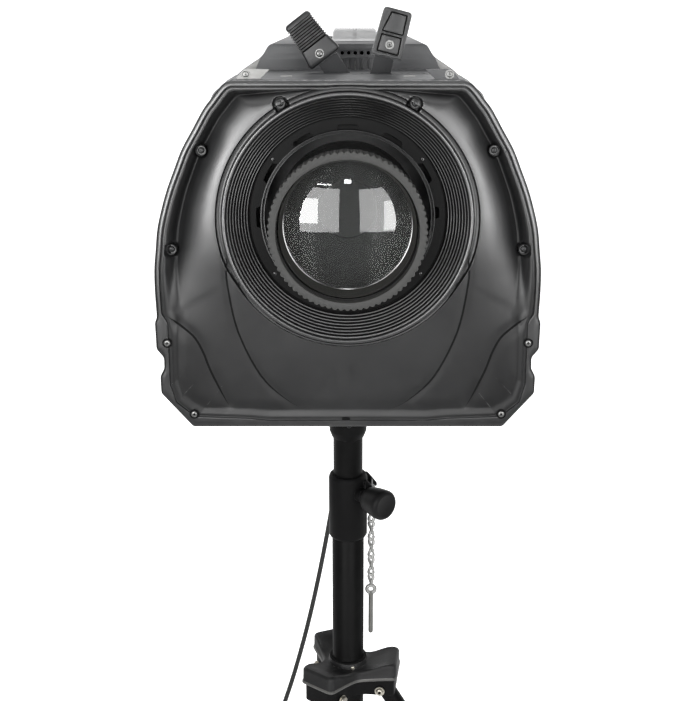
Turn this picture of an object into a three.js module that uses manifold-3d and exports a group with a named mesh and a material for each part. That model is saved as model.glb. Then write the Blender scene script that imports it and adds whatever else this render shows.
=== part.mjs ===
// A followspot on a tripod stand: an ellipsoidal-reflector style luminaire with a focusing lens,
// an iris and a shutter lever, carried by a yoke on a telescopic stand. Millimetres, +Z up,
// the light leaves towards -Y. Z = 0 is the floor.
import * as THREE from 'three';
import { mergeVertices } from 'three/addons/utils/BufferGeometryUtils.js';
import Module from 'manifold-3d';

const wasm = await Module();
wasm.setup();

// ---------------------------------------------------------------- driving dimensions
const COLUMN_X = -73;            // the column stands off the middle of the three feet
const COLUMN_Y = -27;
const OPTICAL_AXIS_Z = 1200;     // height of the optical axis above the floor
const GAP = 0.3;                 // running gap between touching pieces

// stand
const OUTER_TUBE_R = 19.8;
const OUTER_BORE_R = 18.3;
const INNER_TUBE_R = 17.9;
const INNER_BORE_R = 15.5;
const OUTER_TUBE_BOTTOM = 22;
const OUTER_TUBE_TOP = 780;
const INNER_TUBE_BOTTOM = 345;
const COLLAR_BOTTOM = 770;
const COLLAR_TOP = 853;
const COLLAR_R = 23.7;
const KNOB_AZIMUTH = -50;        // degrees from +X, so the lock knob points right and forward
const KNOB_Z = 832;
const KEEPER_X = 29;             // the keeper chain hangs beside the collar
const KEEPER_Y = 4;
const KEEPER_TOP = 836;
const KEEPER_LINKS = 11;
const KEEPER_PITCH = 12.2;
const HUB_TOP = 592;
const HUB_SKIRT = 33;
const HUB_LOBE_R = 65;
const HUB_LOBE_HALF_WIDTH = 25;
const HUB_WAIST_R = 33;
const SHEET = 3;
const LEG_AZIMUTHS = { a: -8, b: 112, c: 232 };
const LEG_PIVOT_R = 44;
const LEG_PIVOT_Z = 566;
const LEG_R = 11;
const FOOT_CIRCLE_R = 390;
const FOOT_R = 17;
const BRACE_ON_LEG = 270;        // distance of the brace pin down the leg
const SPREADER_R = 38;
const SPREADER_Z = 120;
const BRACE_OFFSET = 13.8;       // the brace runs beside the leg

// yoke and socket, heights from the optical axis
const SOCKET_BOTTOM = -299;
const SOCKET_TOP = -270.3;
const SOCKET_R = 22.5;
const YOKE_BOTTOM = -270;
const YOKE_THICK = 6;
const YOKE_WIDTH = 50;
const YOKE_INSIDE = 168;
const TILT_Z = -40;

// head, measured along Y from the column and across from the optical axis
const RIM_Y = -200;
const COVER_BACK_Y = -160;
const FRONT_COVER_END_Y = -50;
const HOUSING_END_Y = 338;
const REAR_PLATE_Y = 342;
const COVER_HOLE_R = 123;
const BARREL_R = 72;
const BARREL_BORE_R = 66.6;
const BULKHEAD_HOLE_R = 87;
const FOCUS_RING_R = 75.5;
const FOCUS_RING_FRONT_Y = -259;
const FOCUS_LIP_R = 67.3;
const BARREL_FRONT_Y = -246;
const CELL_FRONT_Y = -244;
const CELL_BACK_Y = -196;
const FRONT_LENS_R = 64.5;
const LENS_EDGE = 10;            // thickness of both lenses at their edge
const LENS_EDGE_Y = -221.5;
const REAR_LENS_Y = -168;
const GATE_Y = -133;
const SHUTTER_PIN = { x: 9, z: 110 };
const SHUTTER_LEAN = 35;         // degrees from upright, towards -X
const IRIS_LEAN = 13.5;          // degrees from upright, towards +X
const SHUTTER_Y = -110;
const IRIS_Y = -119;

// row of the switch, gland and sockets on the rear panel
const REAR_ROW_Z = -120;
const SWITCH_X = -40;

// mains cord
const CORD_R = 3.8;
const GLAND_X = 31;              // from the column
const GLAND_END_Y = 380;
const COIL_X = -401;
const COIL_Y = 347;
const COIL_INNER_R = 21.4;
const COIL_OUTER_R = 44.8;
const COIL_HEIGHT = 15.5;

// ---------------------------------------------------------------- colours
const paint = (color, roughness, metalness = 0) =>
  new THREE.MeshStandardMaterial({ color, roughness, metalness });
const BLACK_MOULDING = paint(0x1d1e20, 0.38);
const BLACK_PAINT = paint(0x1a1b1d, 0.5, 0.3);
const DARK_GREY = paint(0x3c3e41, 0.5);
const BLACK_RUBBER = paint(0x131313, 0.85);
const GRIP_BLACK = paint(0x222324, 0.6);
const STEEL = paint(0xa9abad, 0.3, 1);
const ALUMINIUM = paint(0xb8babc, 0.4, 1);
const GLASS = paint(0xaec0c8, 0.05);
const LENS_BLACK = paint(0x0e0e0f, 0.6);

// ---------------------------------------------------------------- shaping helpers
const ROUND = 36;                // facets of a large round piece
const rad = THREE.MathUtils.degToRad;
const at = (x, y) => new THREE.Vector2(x, y);

function bare(geometry) {
  const copy = geometry.index ? geometry.toNonIndexed() : geometry.clone();
  copy.deleteAttribute('normal');
  copy.deleteAttribute('uv');
  const merged = mergeVertices(copy, 1e-3);
  const kept = [];
  const index = merged.index.array;
  for (let i = 0; i < index.length; i += 3) {
    const [a, b, c] = [index[i], index[i + 1], index[i + 2]];
    if (a !== b && b !== c && c !== a) kept.push(a, b, c);
  }
  merged.setIndex(kept);
  return merged;
}

function volume(geometry) {
  const position = geometry.attributes.position;
  const corner = [new THREE.Vector3(), new THREE.Vector3(), new THREE.Vector3()];
  let sum = 0;
  for (let i = 0; i < geometry.index.count; i += 3) {
    corner.forEach((point, k) => point.fromBufferAttribute(position, geometry.index.getX(i + k)));
    sum += corner[0].dot(corner[1].clone().cross(corner[2]));
  }
  return sum / 6;
}

// A closed body whose faces point out.
function closed(geometry) {
  const body = bare(geometry);
  if (volume(body) < 0) {
    const index = body.index.array;
    for (let i = 0; i < index.length; i += 3) [index[i], index[i + 1]] = [index[i + 1], index[i]];
  }
  return body;
}

function toSolid(geometry) {
  const body = closed(geometry);
  return new wasm.Manifold(new wasm.Mesh({
    numProp: 3,
    vertProperties: new Float32Array(body.attributes.position.array),
    triVerts: new Uint32Array(body.index.array),
  }));
}

function fromSolid(solid) {
  const mesh = solid.getMesh();
  const geometry = new THREE.BufferGeometry();
  geometry.setAttribute('position', new THREE.BufferAttribute(mesh.vertProperties, 3));
  geometry.setIndex(new THREE.BufferAttribute(mesh.triVerts, 1));
  return geometry;
}

function join(first, ...others) {
  return fromSolid(others.reduce((whole, next) => whole.add(toSolid(next)), toSolid(first)));
}

function cut(first, ...tools) {
  return fromSolid(tools.reduce((whole, tool) => whole.subtract(toSolid(tool)), toSolid(first)));
}

function box(width, depth, height, x = 0, y = 0, z = 0) {
  return new THREE.BoxGeometry(width, depth, height).translate(x, y, z);
}

// Turned pieces: a profile of [radius, distance] pairs about Y, Z or X.
function turnedY(profile, segments = 24) {
  return closed(new THREE.LatheGeometry(profile.map(([r, d]) => at(r, d)), segments));
}
function turnedZ(profile, segments = 24) {
  return turnedY(profile, segments).rotateX(Math.PI / 2);
}
function turnedX(profile, segments = 24) {
  return turnedY(profile, segments).rotateZ(-Math.PI / 2);
}

function rod(radius, from, to, segments = 16) {
  const length = from.distanceTo(to);
  const up = new THREE.Vector3(0, 1, 0);
  const turn = new THREE.Quaternion().setFromUnitVectors(up, to.clone().sub(from).normalize());
  return closed(new THREE.CylinderGeometry(radius, radius, length, segments))
    .applyQuaternion(turn)
    .translate((from.x + to.x) / 2, (from.y + to.y) / 2, (from.z + to.z) / 2);
}

// A ring profile, closed on itself.
function ring(innerR, outerR, from, to) {
  return [[innerR, from], [outerR, from], [outerR, to], [innerR, to], [innerR, from]];
}

// Outline in X and Z, pushed along Y from one depth to the other.
function platedY(shape, fromY, toY, curveSegments = 12) {
  const settings = { depth: toY - fromY, bevelEnabled: false, curveSegments };
  return new THREE.ExtrudeGeometry(shape, settings).rotateX(Math.PI / 2).translate(0, toY, 0);
}

// Outline in Y and Z, pushed along X.
function platedX(shape, fromX, toX, curveSegments = 12) {
  const settings = { depth: toX - fromX, bevelEnabled: false, curveSegments };
  const basis = new THREE.Matrix4().makeBasis(
    new THREE.Vector3(0, 1, 0), new THREE.Vector3(0, 0, 1), new THREE.Vector3(1, 0, 0));
  return new THREE.ExtrudeGeometry(shape, settings).applyMatrix4(basis).translate(fromX, 0, 0);
}

// Outline in X and Y, pushed up along Z.
function platedZ(shape, fromZ, toZ, curveSegments = 12) {
  const settings = { depth: toZ - fromZ, bevelEnabled: false, curveSegments };
  return new THREE.ExtrudeGeometry(shape, settings).translate(0, 0, fromZ);
}

// A symmetric outline from its right half, given from the top middle round to the bottom middle.
function mirrored(rightHalf) {
  const left = rightHalf.filter(([x]) => x > 0).reverse().map(([x, z]) => [-x, z]);
  return new THREE.Shape([...rightHalf, ...left].reverse().map(([x, z]) => at(x, z)));
}

function roundedBar(width, length, radius) {
  const shape = new THREE.Shape();
  shape.moveTo(-width / 2 + radius, 0);
  shape.lineTo(width / 2 - radius, 0);
  shape.absarc(width / 2 - radius, radius, radius, -Math.PI / 2, 0);
  shape.absarc(width / 2 - radius, length - radius, radius, 0, Math.PI / 2);
  shape.absarc(-width / 2 + radius, length - radius, radius, Math.PI / 2, Math.PI);
  shape.absarc(-width / 2 + radius, radius, radius, Math.PI, Math.PI * 1.5);
  return shape;
}

// ---------------------------------------------------------------- scene groups
const followspot = new THREE.Group();
const stand = new THREE.Group();
const head = new THREE.Group();
stand.position.set(COLUMN_X, COLUMN_Y, 0);
head.position.set(COLUMN_X, COLUMN_Y, OPTICAL_AXIS_Z);
followspot.add(stand, head);

function place(group, name, geometry, material) {
  const body = closed(geometry);
  body.computeVertexNormals();
  const mesh = new THREE.Mesh(body, material);
  mesh.name = name;
  group.add(mesh);
  return mesh;
}

// ---------------------------------------------------------------- stand
function addColumn() {
  place(stand, 'outer_tube', turnedZ(ring(OUTER_BORE_R, OUTER_TUBE_R, OUTER_TUBE_BOTTOM,
    OUTER_TUBE_TOP)), BLACK_PAINT);
  place(stand, 'inner_tube', turnedZ(ring(INNER_BORE_R, INNER_TUBE_R, INNER_TUBE_BOTTOM,
    OPTICAL_AXIS_Z + SOCKET_BOTTOM - GAP)), BLACK_PAINT);
}

function knobDirection() {
  return new THREE.Vector3(Math.cos(rad(KNOB_AZIMUTH)), Math.sin(rad(KNOB_AZIMUTH)), 0);
}

function addLockCollar() {
  const sleeve = turnedZ([
    [OUTER_TUBE_R + GAP, COLLAR_BOTTOM], [COLLAR_R - 2, COLLAR_BOTTOM], [COLLAR_R, COLLAR_BOTTOM + 3],
    [COLLAR_R, COLLAR_TOP - 4], [COLLAR_R - 2, COLLAR_TOP], [INNER_TUBE_R + GAP, COLLAR_TOP],
    [INNER_TUBE_R + GAP, OUTER_TUBE_TOP + GAP], [OUTER_TUBE_R + GAP, OUTER_TUBE_TOP + GAP],
    [OUTER_TUBE_R + GAP, COLLAR_BOTTOM]]);
  const out = knobDirection();
  const lift = new THREE.Vector3(0, 0, KNOB_Z);
  const boss = rod(9, out.clone().multiplyScalar(19.5).add(lift), out.clone().multiplyScalar(29).add(lift));
  const screwHole = rod(4.4, out.clone().multiplyScalar(17).add(lift),
    out.clone().multiplyScalar(31).add(lift));
  const lug = box(12, 8, 14, KEEPER_X - 3, KEEPER_Y, KEEPER_TOP + 9);
  place(stand, 'lock_collar', cut(join(sleeve, boss, lug), screwHole), BLACK_PAINT);
}

function addLockKnob() {
  const grip = turnedY([[0, 0], [4, 0], [4, 10.5], [8.6, 10.5], [8.6, 18.5], [14, 19.5],
    [15.6, 23], [18.5, 46], [17.5, 50], [0, 51]], 24);
  const knob = place(stand, 'lock_knob', grip, GRIP_BLACK);
  knob.quaternion.setFromUnitVectors(new THREE.Vector3(0, 1, 0), knobDirection());
  knob.position.copy(knobDirection().multiplyScalar(19.2)).add(new THREE.Vector3(0, 0, KNOB_Z));
}

function hubOutline(shrink) {
  const shape = new THREE.Shape();
  const reach = HUB_LOBE_R - shrink;
  const half = HUB_LOBE_HALF_WIDTH - shrink;
  const waist = HUB_WAIST_R - shrink;
  Object.values(LEG_AZIMUTHS).forEach((azimuth, i) => {
    const turn = (x, y) => at(x, y).rotateAround(at(0, 0), rad(azimuth));
    const start = turn(reach - 8, -half);
    if (i === 0) shape.moveTo(start.x, start.y);
    else shape.lineTo(start.x, start.y);
    const firstCorner = turn(reach, -half);
    const firstEnd = turn(reach, -half + 8);
    shape.quadraticCurveTo(firstCorner.x, firstCorner.y, firstEnd.x, firstEnd.y);
    const secondStart = turn(reach, half - 8);
    shape.lineTo(secondStart.x, secondStart.y);
    const secondCorner = turn(reach, half);
    const secondEnd = turn(reach - 8, half);
    shape.quadraticCurveTo(secondCorner.x, secondCorner.y, secondEnd.x, secondEnd.y);
    const dip = at(waist, 0).rotateAround(at(0, 0), rad(azimuth + 60));
    const next = at(reach - 8, -half).rotateAround(at(0, 0), rad(azimuth + 120));
    shape.splineThru([dip, next]);
  });
  return shape;
}

function addLegHub() {
  const body = platedZ(hubOutline(0), HUB_TOP - HUB_SKIRT, HUB_TOP, 3);
  const pocket = platedZ(hubOutline(SHEET), HUB_TOP - HUB_SKIRT - 1, HUB_TOP - SHEET, 3);
  const sleeve = turnedZ(ring(OUTER_TUBE_R - 4, 24.5, HUB_TOP - HUB_SKIRT, HUB_TOP + 8));
  const bore = turnedZ([[0, HUB_TOP - 60], [OUTER_TUBE_R + GAP, HUB_TOP - 60],
    [OUTER_TUBE_R + GAP, HUB_TOP + 20], [0, HUB_TOP + 20]]);
  const pins = Object.values(LEG_AZIMUTHS).map((azimuth) => {
    const half = HUB_LOBE_HALF_WIDTH - 1;
    return rod(4, new THREE.Vector3(LEG_PIVOT_R, -half, LEG_PIVOT_Z),
      new THREE.Vector3(LEG_PIVOT_R, half, LEG_PIVOT_Z), 12).rotateZ(rad(azimuth));
  });
  const shell = cut(body, pocket);
  place(stand, 'leg_hub', cut(join(shell, sleeve, ...pins), bore), BLACK_PAINT);
}

// In a leg's own plane: X outwards from the column, Z up.
const legEnd = new THREE.Vector3(FOOT_CIRCLE_R, 0, 14);
const legTop = new THREE.Vector3(LEG_PIVOT_R, 0, LEG_PIVOT_Z);
const legDown = legEnd.clone().sub(legTop).normalize();
const bracePin = legTop.clone().addScaledVector(legDown, BRACE_ON_LEG);
const spreaderPin = new THREE.Vector3(SPREADER_R, 0, SPREADER_Z);

function legGeometry() {
  const top = legTop.clone().addScaledVector(legDown, -9);
  const tube = rod(LEG_R, top, legEnd, 16);
  const eye = rod(4.4, legTop.clone().setY(-20), legTop.clone().setY(20), 12);
  const pin = rod(3, bracePin.clone().setY(8), bracePin.clone().setY(BRACE_OFFSET + 5), 10);
  const pinHead = rod(6, bracePin.clone().setY(BRACE_OFFSET + 2.4),
    bracePin.clone().setY(BRACE_OFFSET + 5), 12);
  return join(cut(tube, eye), pin, pinHead);
}

function footGeometry() {
  const shoe = turnedZ([[0, 0], [FOOT_R - 3, 0], [FOOT_R, 3], [FOOT_R, 20], [LEG_R + 4, 42], [0, 42]], 20)
    .translate(FOOT_CIRCLE_R, 0, 0);
  const socket = rod(LEG_R + GAP, legEnd.clone().addScaledVector(legDown, GAP),
    legTop.clone().addScaledVector(legDown, 400), 16);
  return cut(shoe, socket);
}

function braceGeometry() {
  const run = bracePin.clone().sub(spreaderPin);
  const length = Math.hypot(run.x, run.z);
  const strap = roundedBar(16, length + 16, 7.9);
  strap.holes.push(new THREE.Path().absarc(0, length + 8, 3.5, 0, Math.PI * 2, true));
  return platedY(strap, -2, 2, 6)
    .translate(0, 0, -8)
    .rotateY(Math.atan2(run.x, run.z))
    .translate(spreaderPin.x, BRACE_OFFSET, spreaderPin.z);
}

function addLegs() {
  for (const [letter, azimuth] of Object.entries(LEG_AZIMUTHS)) {
    place(stand, `leg_${letter}`, legGeometry().rotateZ(rad(azimuth)), BLACK_PAINT);
    place(stand, `foot_${letter}`, footGeometry().rotateZ(rad(azimuth)), BLACK_RUBBER);
    place(stand, `brace_${letter}`, braceGeometry().rotateZ(rad(azimuth)), BLACK_PAINT);
  }
}

function addSpreader() {
  const slide = turnedZ(ring(OUTER_TUBE_R + GAP, 27, SPREADER_Z - 20, SPREADER_Z + 20));
  const lugs = Object.values(LEG_AZIMUTHS).map((azimuth) =>
    box(22, 8, 26, SPREADER_R - 3, 7, SPREADER_Z).rotateZ(rad(azimuth)));
  place(stand, 'spreader_collar', join(slide, ...lugs), BLACK_PAINT);
}

function addKeeperPin() {
  const links = Array.from({ length: KEEPER_LINKS }, (_, i) => {
    const wide = i % 2 === 0;
    const z = KEEPER_TOP - 7.2 - i * KEEPER_PITCH;
    return box(wide ? 9 : 3, wide ? 3 : 9, 14.2, KEEPER_X, KEEPER_Y, z);
  });
  place(stand, 'keeper_chain', join(...links), STEEL);
  const eyeZ = KEEPER_TOP - 7.2 - (KEEPER_LINKS - 1) * KEEPER_PITCH - 14;
  const eye = closed(new THREE.TorusGeometry(5.2, 1.3, 6, 16)).rotateX(Math.PI / 2)
    .translate(KEEPER_X, KEEPER_Y, eyeZ);
  const shank = rod(2.6, new THREE.Vector3(KEEPER_X, KEEPER_Y, eyeZ - 4.5),
    new THREE.Vector3(KEEPER_X, KEEPER_Y, eyeZ - 62), 12);
  place(stand, 'keeper_pin', join(eye, shank), STEEL);
}

// ---------------------------------------------------------------- socket, yoke and tilt knobs
function addSocketAndYoke() {
  place(head, 'stand_socket', turnedZ([
    [0, SOCKET_BOTTOM - 70], [15.1, SOCKET_BOTTOM - 70], [15.1, SOCKET_BOTTOM], [19, SOCKET_BOTTOM],
    [SOCKET_R, SOCKET_BOTTOM + 8], [SOCKET_R, SOCKET_TOP], [6.3, SOCKET_TOP], [6.3, SOCKET_TOP - 24],
    [0, SOCKET_TOP - 24]]), BLACK_PAINT);
  place(head, 'yoke_bolt', turnedZ([
    [0, SOCKET_TOP - 22], [6, SOCKET_TOP - 22], [6, YOKE_BOTTOM + YOKE_THICK + GAP],
    [11, YOKE_BOTTOM + YOKE_THICK + GAP], [11, YOKE_BOTTOM + YOKE_THICK + 7],
    [0, YOKE_BOTTOM + YOKE_THICK + 7]], 24), STEEL);
  const half = YOKE_WIDTH / 2;
  const outside = YOKE_INSIDE + YOKE_THICK;
  const web = platedZ(new THREE.Shape([at(-outside, -half), at(outside, -half), at(outside, half),
    at(-outside, half)]), YOKE_BOTTOM, YOKE_BOTTOM + YOKE_THICK);
  const arm = new THREE.Shape();
  arm.moveTo(-half, YOKE_BOTTOM);
  arm.lineTo(half, YOKE_BOTTOM);
  arm.lineTo(half, TILT_Z);
  arm.absarc(0, TILT_Z, half, 0, Math.PI);
  arm.holes.push(new THREE.Path().absarc(0, TILT_Z, 5.4, 0, Math.PI * 2, true));
  const arms = [-1, 1].map((side) => platedX(arm, side > 0 ? YOKE_INSIDE : -outside,
    side > 0 ? outside : -YOKE_INSIDE, 10));
  const boltHole = turnedZ([[0, YOKE_BOTTOM - 5], [6.5, YOKE_BOTTOM - 5], [6.5, YOKE_BOTTOM + 20],
    [0, YOKE_BOTTOM + 20]], 24);
  place(head, 'yoke', cut(join(web, ...arms), boltHole), BLACK_PAINT);
}

function addTiltKnobs() {
  const face = YOKE_INSIDE + YOKE_THICK + GAP;
  for (const [name, side] of [['tilt_knob_right', 1], ['tilt_knob_left', -1]]) {
    const profile = [[0, 154], [5, 154], [5, face], [15, face], [15, face + 6], [20, face + 9],
      [20, face + 27], [17, face + 30], [0, face + 30]];
    const turned = turnedX(profile, 24).rotateZ(side > 0 ? 0 : Math.PI).translate(0, 0, TILT_Z);
    place(head, name, turned, GRIP_BLACK);
  }
}

// ---------------------------------------------------------------- front of the head
// Right half of the front cover's outline: [half width, height above the optical axis].
function coverOutline(inset) {
  const right = [[112, 135.5], [124.5, 128], [145.3, 98.5], [169.3, 50.7], [185.5, 2], [192.9, -48.4],
    [193.3, -75], [192.5, -101], [194.8, -104], [194.4, -131], [187, -140], [187.5, -152.5],
    [192, -161], [191.5, -178], [160, -214.5]];
  const top = 135.5 - inset;
  const bottom = -214.5 + inset;
  const shrunk = right.map(([x, z]) => [x - inset, Math.min(top, Math.max(bottom, z))]);
  return mirrored([[0, top], ...shrunk, [0, bottom]]);
}

function addFrontCover() {
  const outer = platedY(coverOutline(0), RIM_Y, COVER_BACK_Y);
  const hollow = platedY(coverOutline(4), RIM_Y + 5, COVER_BACK_Y + 1);
  const opening = turnedY([[0, RIM_Y - 1], [COVER_HOLE_R, RIM_Y - 1], [COVER_HOLE_R, RIM_Y + 20],
    [0, RIM_Y + 20]], ROUND);
  place(head, 'front_cover', cut(outer, hollow, opening), BLACK_MOULDING);
}

function addBaffle() {
  const steps = 5;
  const front = RIM_Y + 0.5;
  const inner = 100;
  const outer = COVER_HOLE_R - GAP;
  const profile = [];
  for (let i = 0; i <= steps; i += 1) {
    const r = outer - 3 - ((outer - 3 - inner) * i) / steps;
    const y = front + (22 * i) / steps;
    if (i > 0) profile.push([r, y - 22 / steps]);
    profile.push([r, y]);
  }
  const wall = [[inner, front + 24.5], [outer, front + 24.5], [outer, front]];
  const shape = [[outer - 3, front], ...profile.slice(1), ...wall, [outer - 3, front]];
  place(head, 'ribbed_baffle', turnedY(shape, ROUND), BLACK_MOULDING);
}

function addBulkhead() {
  const front = RIM_Y + 26;
  const disc = turnedY(ring(BULKHEAD_HOLE_R, 128, front, front + SHEET), ROUND);
  place(head, 'bulkhead_ring', disc, BLACK_MOULDING);
}

function addLensGroup() {
  const barrel = ring(BARREL_BORE_R, BARREL_R, BARREL_FRONT_Y, GATE_Y - GAP);
  place(head, 'lens_barrel', turnedY(barrel, ROUND), LENS_BLACK);
  const front = FOCUS_RING_FRONT_Y;
  const lip = front + 12.5;
  const back = front + 36;
  place(head, 'focus_ring', turnedY([
    [FOCUS_LIP_R, front], [FOCUS_RING_R, front], [FOCUS_RING_R, back], [BARREL_R + GAP, back],
    [BARREL_R + GAP, lip], [FOCUS_LIP_R, lip], [FOCUS_LIP_R, front]], ROUND), GRIP_BLACK);
  const cellR = BARREL_BORE_R - GAP;
  const boreR = FRONT_LENS_R + 0.4;
  place(head, 'lens_cell', turnedY([
    [cellR - 0.7, CELL_FRONT_Y], [cellR, CELL_FRONT_Y], [cellR, CELL_BACK_Y], [boreR, CELL_BACK_Y],
    [boreR, LENS_EDGE_Y], [boreR - 2.1, LENS_EDGE_Y], [cellR - 0.7, CELL_FRONT_Y]], ROUND), LENS_BLACK);
  const lens = lensProfile(FRONT_LENS_R, LENS_EDGE_Y + GAP, LENS_EDGE, 12);
  place(head, 'front_lens', turnedY(lens, ROUND), GLASS);
  const behindLens = LENS_EDGE_Y + LENS_EDGE + 2 * GAP + 0.3;
  const keeper = ring(60.5, FRONT_LENS_R + 0.1, behindLens, behindLens + 5.1);
  place(head, 'retaining_ring', turnedY(keeper, ROUND), LENS_BLACK);
  const rear = lensProfile(BARREL_BORE_R - 0.4, REAR_LENS_Y, LENS_EDGE, 11);
  place(head, 'rear_lens', turnedY(rear, ROUND), GLASS);
}

// A plano-convex lens: the curved face bulges towards -Y from the front of its edge.
function lensProfile(radius, edgeY, edgeThickness, bulge) {
  const clear = radius - 2;
  const sphere = (clear * clear + bulge * bulge) / (2 * bulge);
  const profile = [[0, edgeY - bulge]];
  const steps = 4;
  for (let i = 1; i <= steps; i += 1) {
    const r = (clear * i) / steps;
    profile.push([r, edgeY - bulge + sphere - Math.sqrt(sphere * sphere - r * r)]);
  }
  profile.push([radius, edgeY], [radius, edgeY + edgeThickness], [0, edgeY + edgeThickness]);
  return profile;
}

// ---------------------------------------------------------------- light engine
function addGate() {
  const outline = mirrored([[0, 125], [108, 125], [130, 112], [150, 60], [158, 20], [158, -185],
    [0, -185]]);
  outline.holes.push(new THREE.Path().absarc(0, 0, 42, 0, Math.PI * 2, true));
  const plate = platedY(outline, GATE_Y, GATE_Y + 3);
  const pinFrom = new THREE.Vector3(SHUTTER_PIN.x, GATE_Y + 1, SHUTTER_PIN.z);
  const pin = rod(4, pinFrom, pinFrom.clone().setY(SHUTTER_Y + 5), 16);
  place(head, 'gate_plate', join(plate, pin), BLACK_PAINT);
  place(head, 'iris_ring', turnedY(ring(22, 86, IRIS_Y - 3, IRIS_Y + 3), ROUND), ALUMINIUM);
}

function addLightEngine() {
  const rearOfGate = -106;
  place(head, 'condenser_tube', turnedY([[32, rearOfGate], [35, rearOfGate], [58, 58], [55, 58],
    [32, rearOfGate]], 24), ALUMINIUM);
  const emitter = turnedY([[0, 59], [22, 59], [22, 66], [0, 66]], 24);
  place(head, 'led_module', join(box(110, 6, 110, 0, 64, 0), emitter), ALUMINIUM);
  const fins = Array.from({ length: 11 }, (_, i) => box(3, 108, 124, -60 + i * 12, 133, 0));
  place(head, 'heatsink', join(box(132, 12, 124, 0, 73.5, 0), ...fins), ALUMINIUM);
  const blades = Array.from({ length: 7 }, (_, i) => box(42, 3, 16, 36, 0, 0).rotateX(0.6)
    .rotateY((i * Math.PI * 2) / 7).translate(0, 212, 0));
  const hub = turnedY([[0, 202], [20, 202], [20, 222], [0, 222]], 20);
  place(head, 'cooling_fan', join(hub, ...blades), BLACK_RUBBER);
  const supply = cut(box(200, 230, 48, 0, 190, -176), box(190, 230, 40, 0, 196, -176));
  place(head, 'power_supply', supply, ALUMINIUM);
}

// ---------------------------------------------------------------- housing
const FLOOR_Z = -205;
const SPLIT_Z = 20;              // the covers meet the lower housing here
const TOP_Z = 165;

function troughOutline(outer, inner) {
  return new THREE.Shape([...outer, ...inner.reverse()].map(([x, z]) => at(x, z)));
}

function addLowerHousing() {
  const outer = [[-165, SPLIT_Z], [-165, -187], [-147, FLOOR_Z], [147, FLOOR_Z], [165, -187],
    [165, SPLIT_Z]];
  const inner = [[-162, SPLIT_Z], [-162, -185.8], [-145.8, FLOOR_Z + SHEET], [145.8, FLOOR_Z + SHEET],
    [162, -185.8], [162, SPLIT_Z]];
  const trough = platedY(troughOutline(outer, inner), COVER_BACK_Y + GAP, HOUSING_END_Y);
  const bosses = [1, -1].map((side) => turnedX([[0, 161], [27, 161], [27, 167.6], [0, 167.6]], 32)
    .rotateZ(side > 0 ? 0 : Math.PI).translate(0, 0, TILT_Z));
  const studHole = turnedX([[0, -180], [5.4, -180], [5.4, 180], [0, 180]], 20).translate(0, 0, TILT_Z);
  place(head, 'lower_housing', cut(join(trough, ...bosses), studHole), DARK_GREY);
}

function lidShape(rightOuter, rightInner) {
  const left = (half) => half.map(([x, z]) => [-x, z]);
  const outer = [...left(rightOuter), ...rightOuter.slice().reverse()];
  const inner = [...left(rightInner), ...rightInner.slice().reverse()];
  return troughOutline(outer, inner);
}

function addFrontTopCover() {
  const outer = [[165, SPLIT_Z + GAP], [156, 70], [133, 121], [116, 135], [110, 138]];
  const inner = [[162, SPLIT_Z + GAP], [153, 69.2], [130.6, 118.8], [114.4, 132.2], [109, 135]];
  const shell = platedY(lidShape(outer, inner), COVER_BACK_Y + GAP, FRONT_COVER_END_Y);
  const shutterSlot = box(52, 9, 20, -6, SHUTTER_Y, 138);
  const irisSlot = box(66, 9, 20, 46, IRIS_Y, 138);
  place(head, 'front_top_cover', cut(shell, shutterSlot, irisSlot), DARK_GREY);
}

const HANDLE_WELL = { width: 62, length: 150, depth: 30, x: 8, y: 140 };

function addTopCover() {
  const outer = [[165, SPLIT_Z + GAP], [156, 70], [133, 121], [112, 139], [92, 152], [84, TOP_Z]];
  const inner = [[162, SPLIT_Z + GAP], [153, 69.2], [130.6, 118.8], [110.2, 136.6], [89.6, 150],
    [82, TOP_Z - SHEET]];
  const from = FRONT_COVER_END_Y + GAP;
  const shell = platedY(lidShape(outer, inner), from, HOUSING_END_Y);
  const face = mirrored([[0, TOP_Z], [84, TOP_Z], [92, 152], [112, 139], [131, 122], [0, 122]]);
  const front = platedY(face, from, from + SHEET);
  const well = HANDLE_WELL;
  const middleZ = TOP_Z - well.depth / 2;
  const tub = box(well.width + 2 * SHEET, well.length + 2 * SHEET, well.depth, well.x, well.y, middleZ);
  const space = box(well.width, well.length, well.depth, well.x, well.y, middleZ + SHEET);
  const vents = Array.from({ length: 5 }, (_, i) =>
    box(4, 8, 10, well.x + (i - 2) * 7, from, TOP_Z - 11));
  place(head, 'top_cover', cut(join(shell, front, tub), space, ...vents), DARK_GREY);
}

function addCarryHandle() {
  const well = HANDLE_WELL;
  const end = well.length / 2 + 22;
  const side = new THREE.Shape();
  const edge = well.length / 2;
  const foot = TOP_Z + GAP;
  const grip = TOP_Z + 14;
  const under = TOP_Z + 5;
  side.moveTo(-end, foot);
  side.quadraticCurveTo(-end + 8, grip - 1, -end + 40, grip);
  side.lineTo(end - 40, grip);
  side.quadraticCurveTo(end - 8, grip - 1, end, foot);
  side.lineTo(edge - 4, foot);
  side.quadraticCurveTo(edge - 14, under, edge - 26, under);
  side.lineTo(-edge + 26, under);
  side.quadraticCurveTo(-edge + 14, under, -edge + 4, foot);
  place(head, 'carry_handle', platedX(side, -26, 26, 5).translate(well.x, well.y, 0), BLACK_MOULDING);
}

// ---------------------------------------------------------------- levers
function leverAt(geometry, lean, pivot, y) {
  return geometry.rotateY(rad(lean)).translate(pivot.x, y, pivot.z);
}

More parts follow.
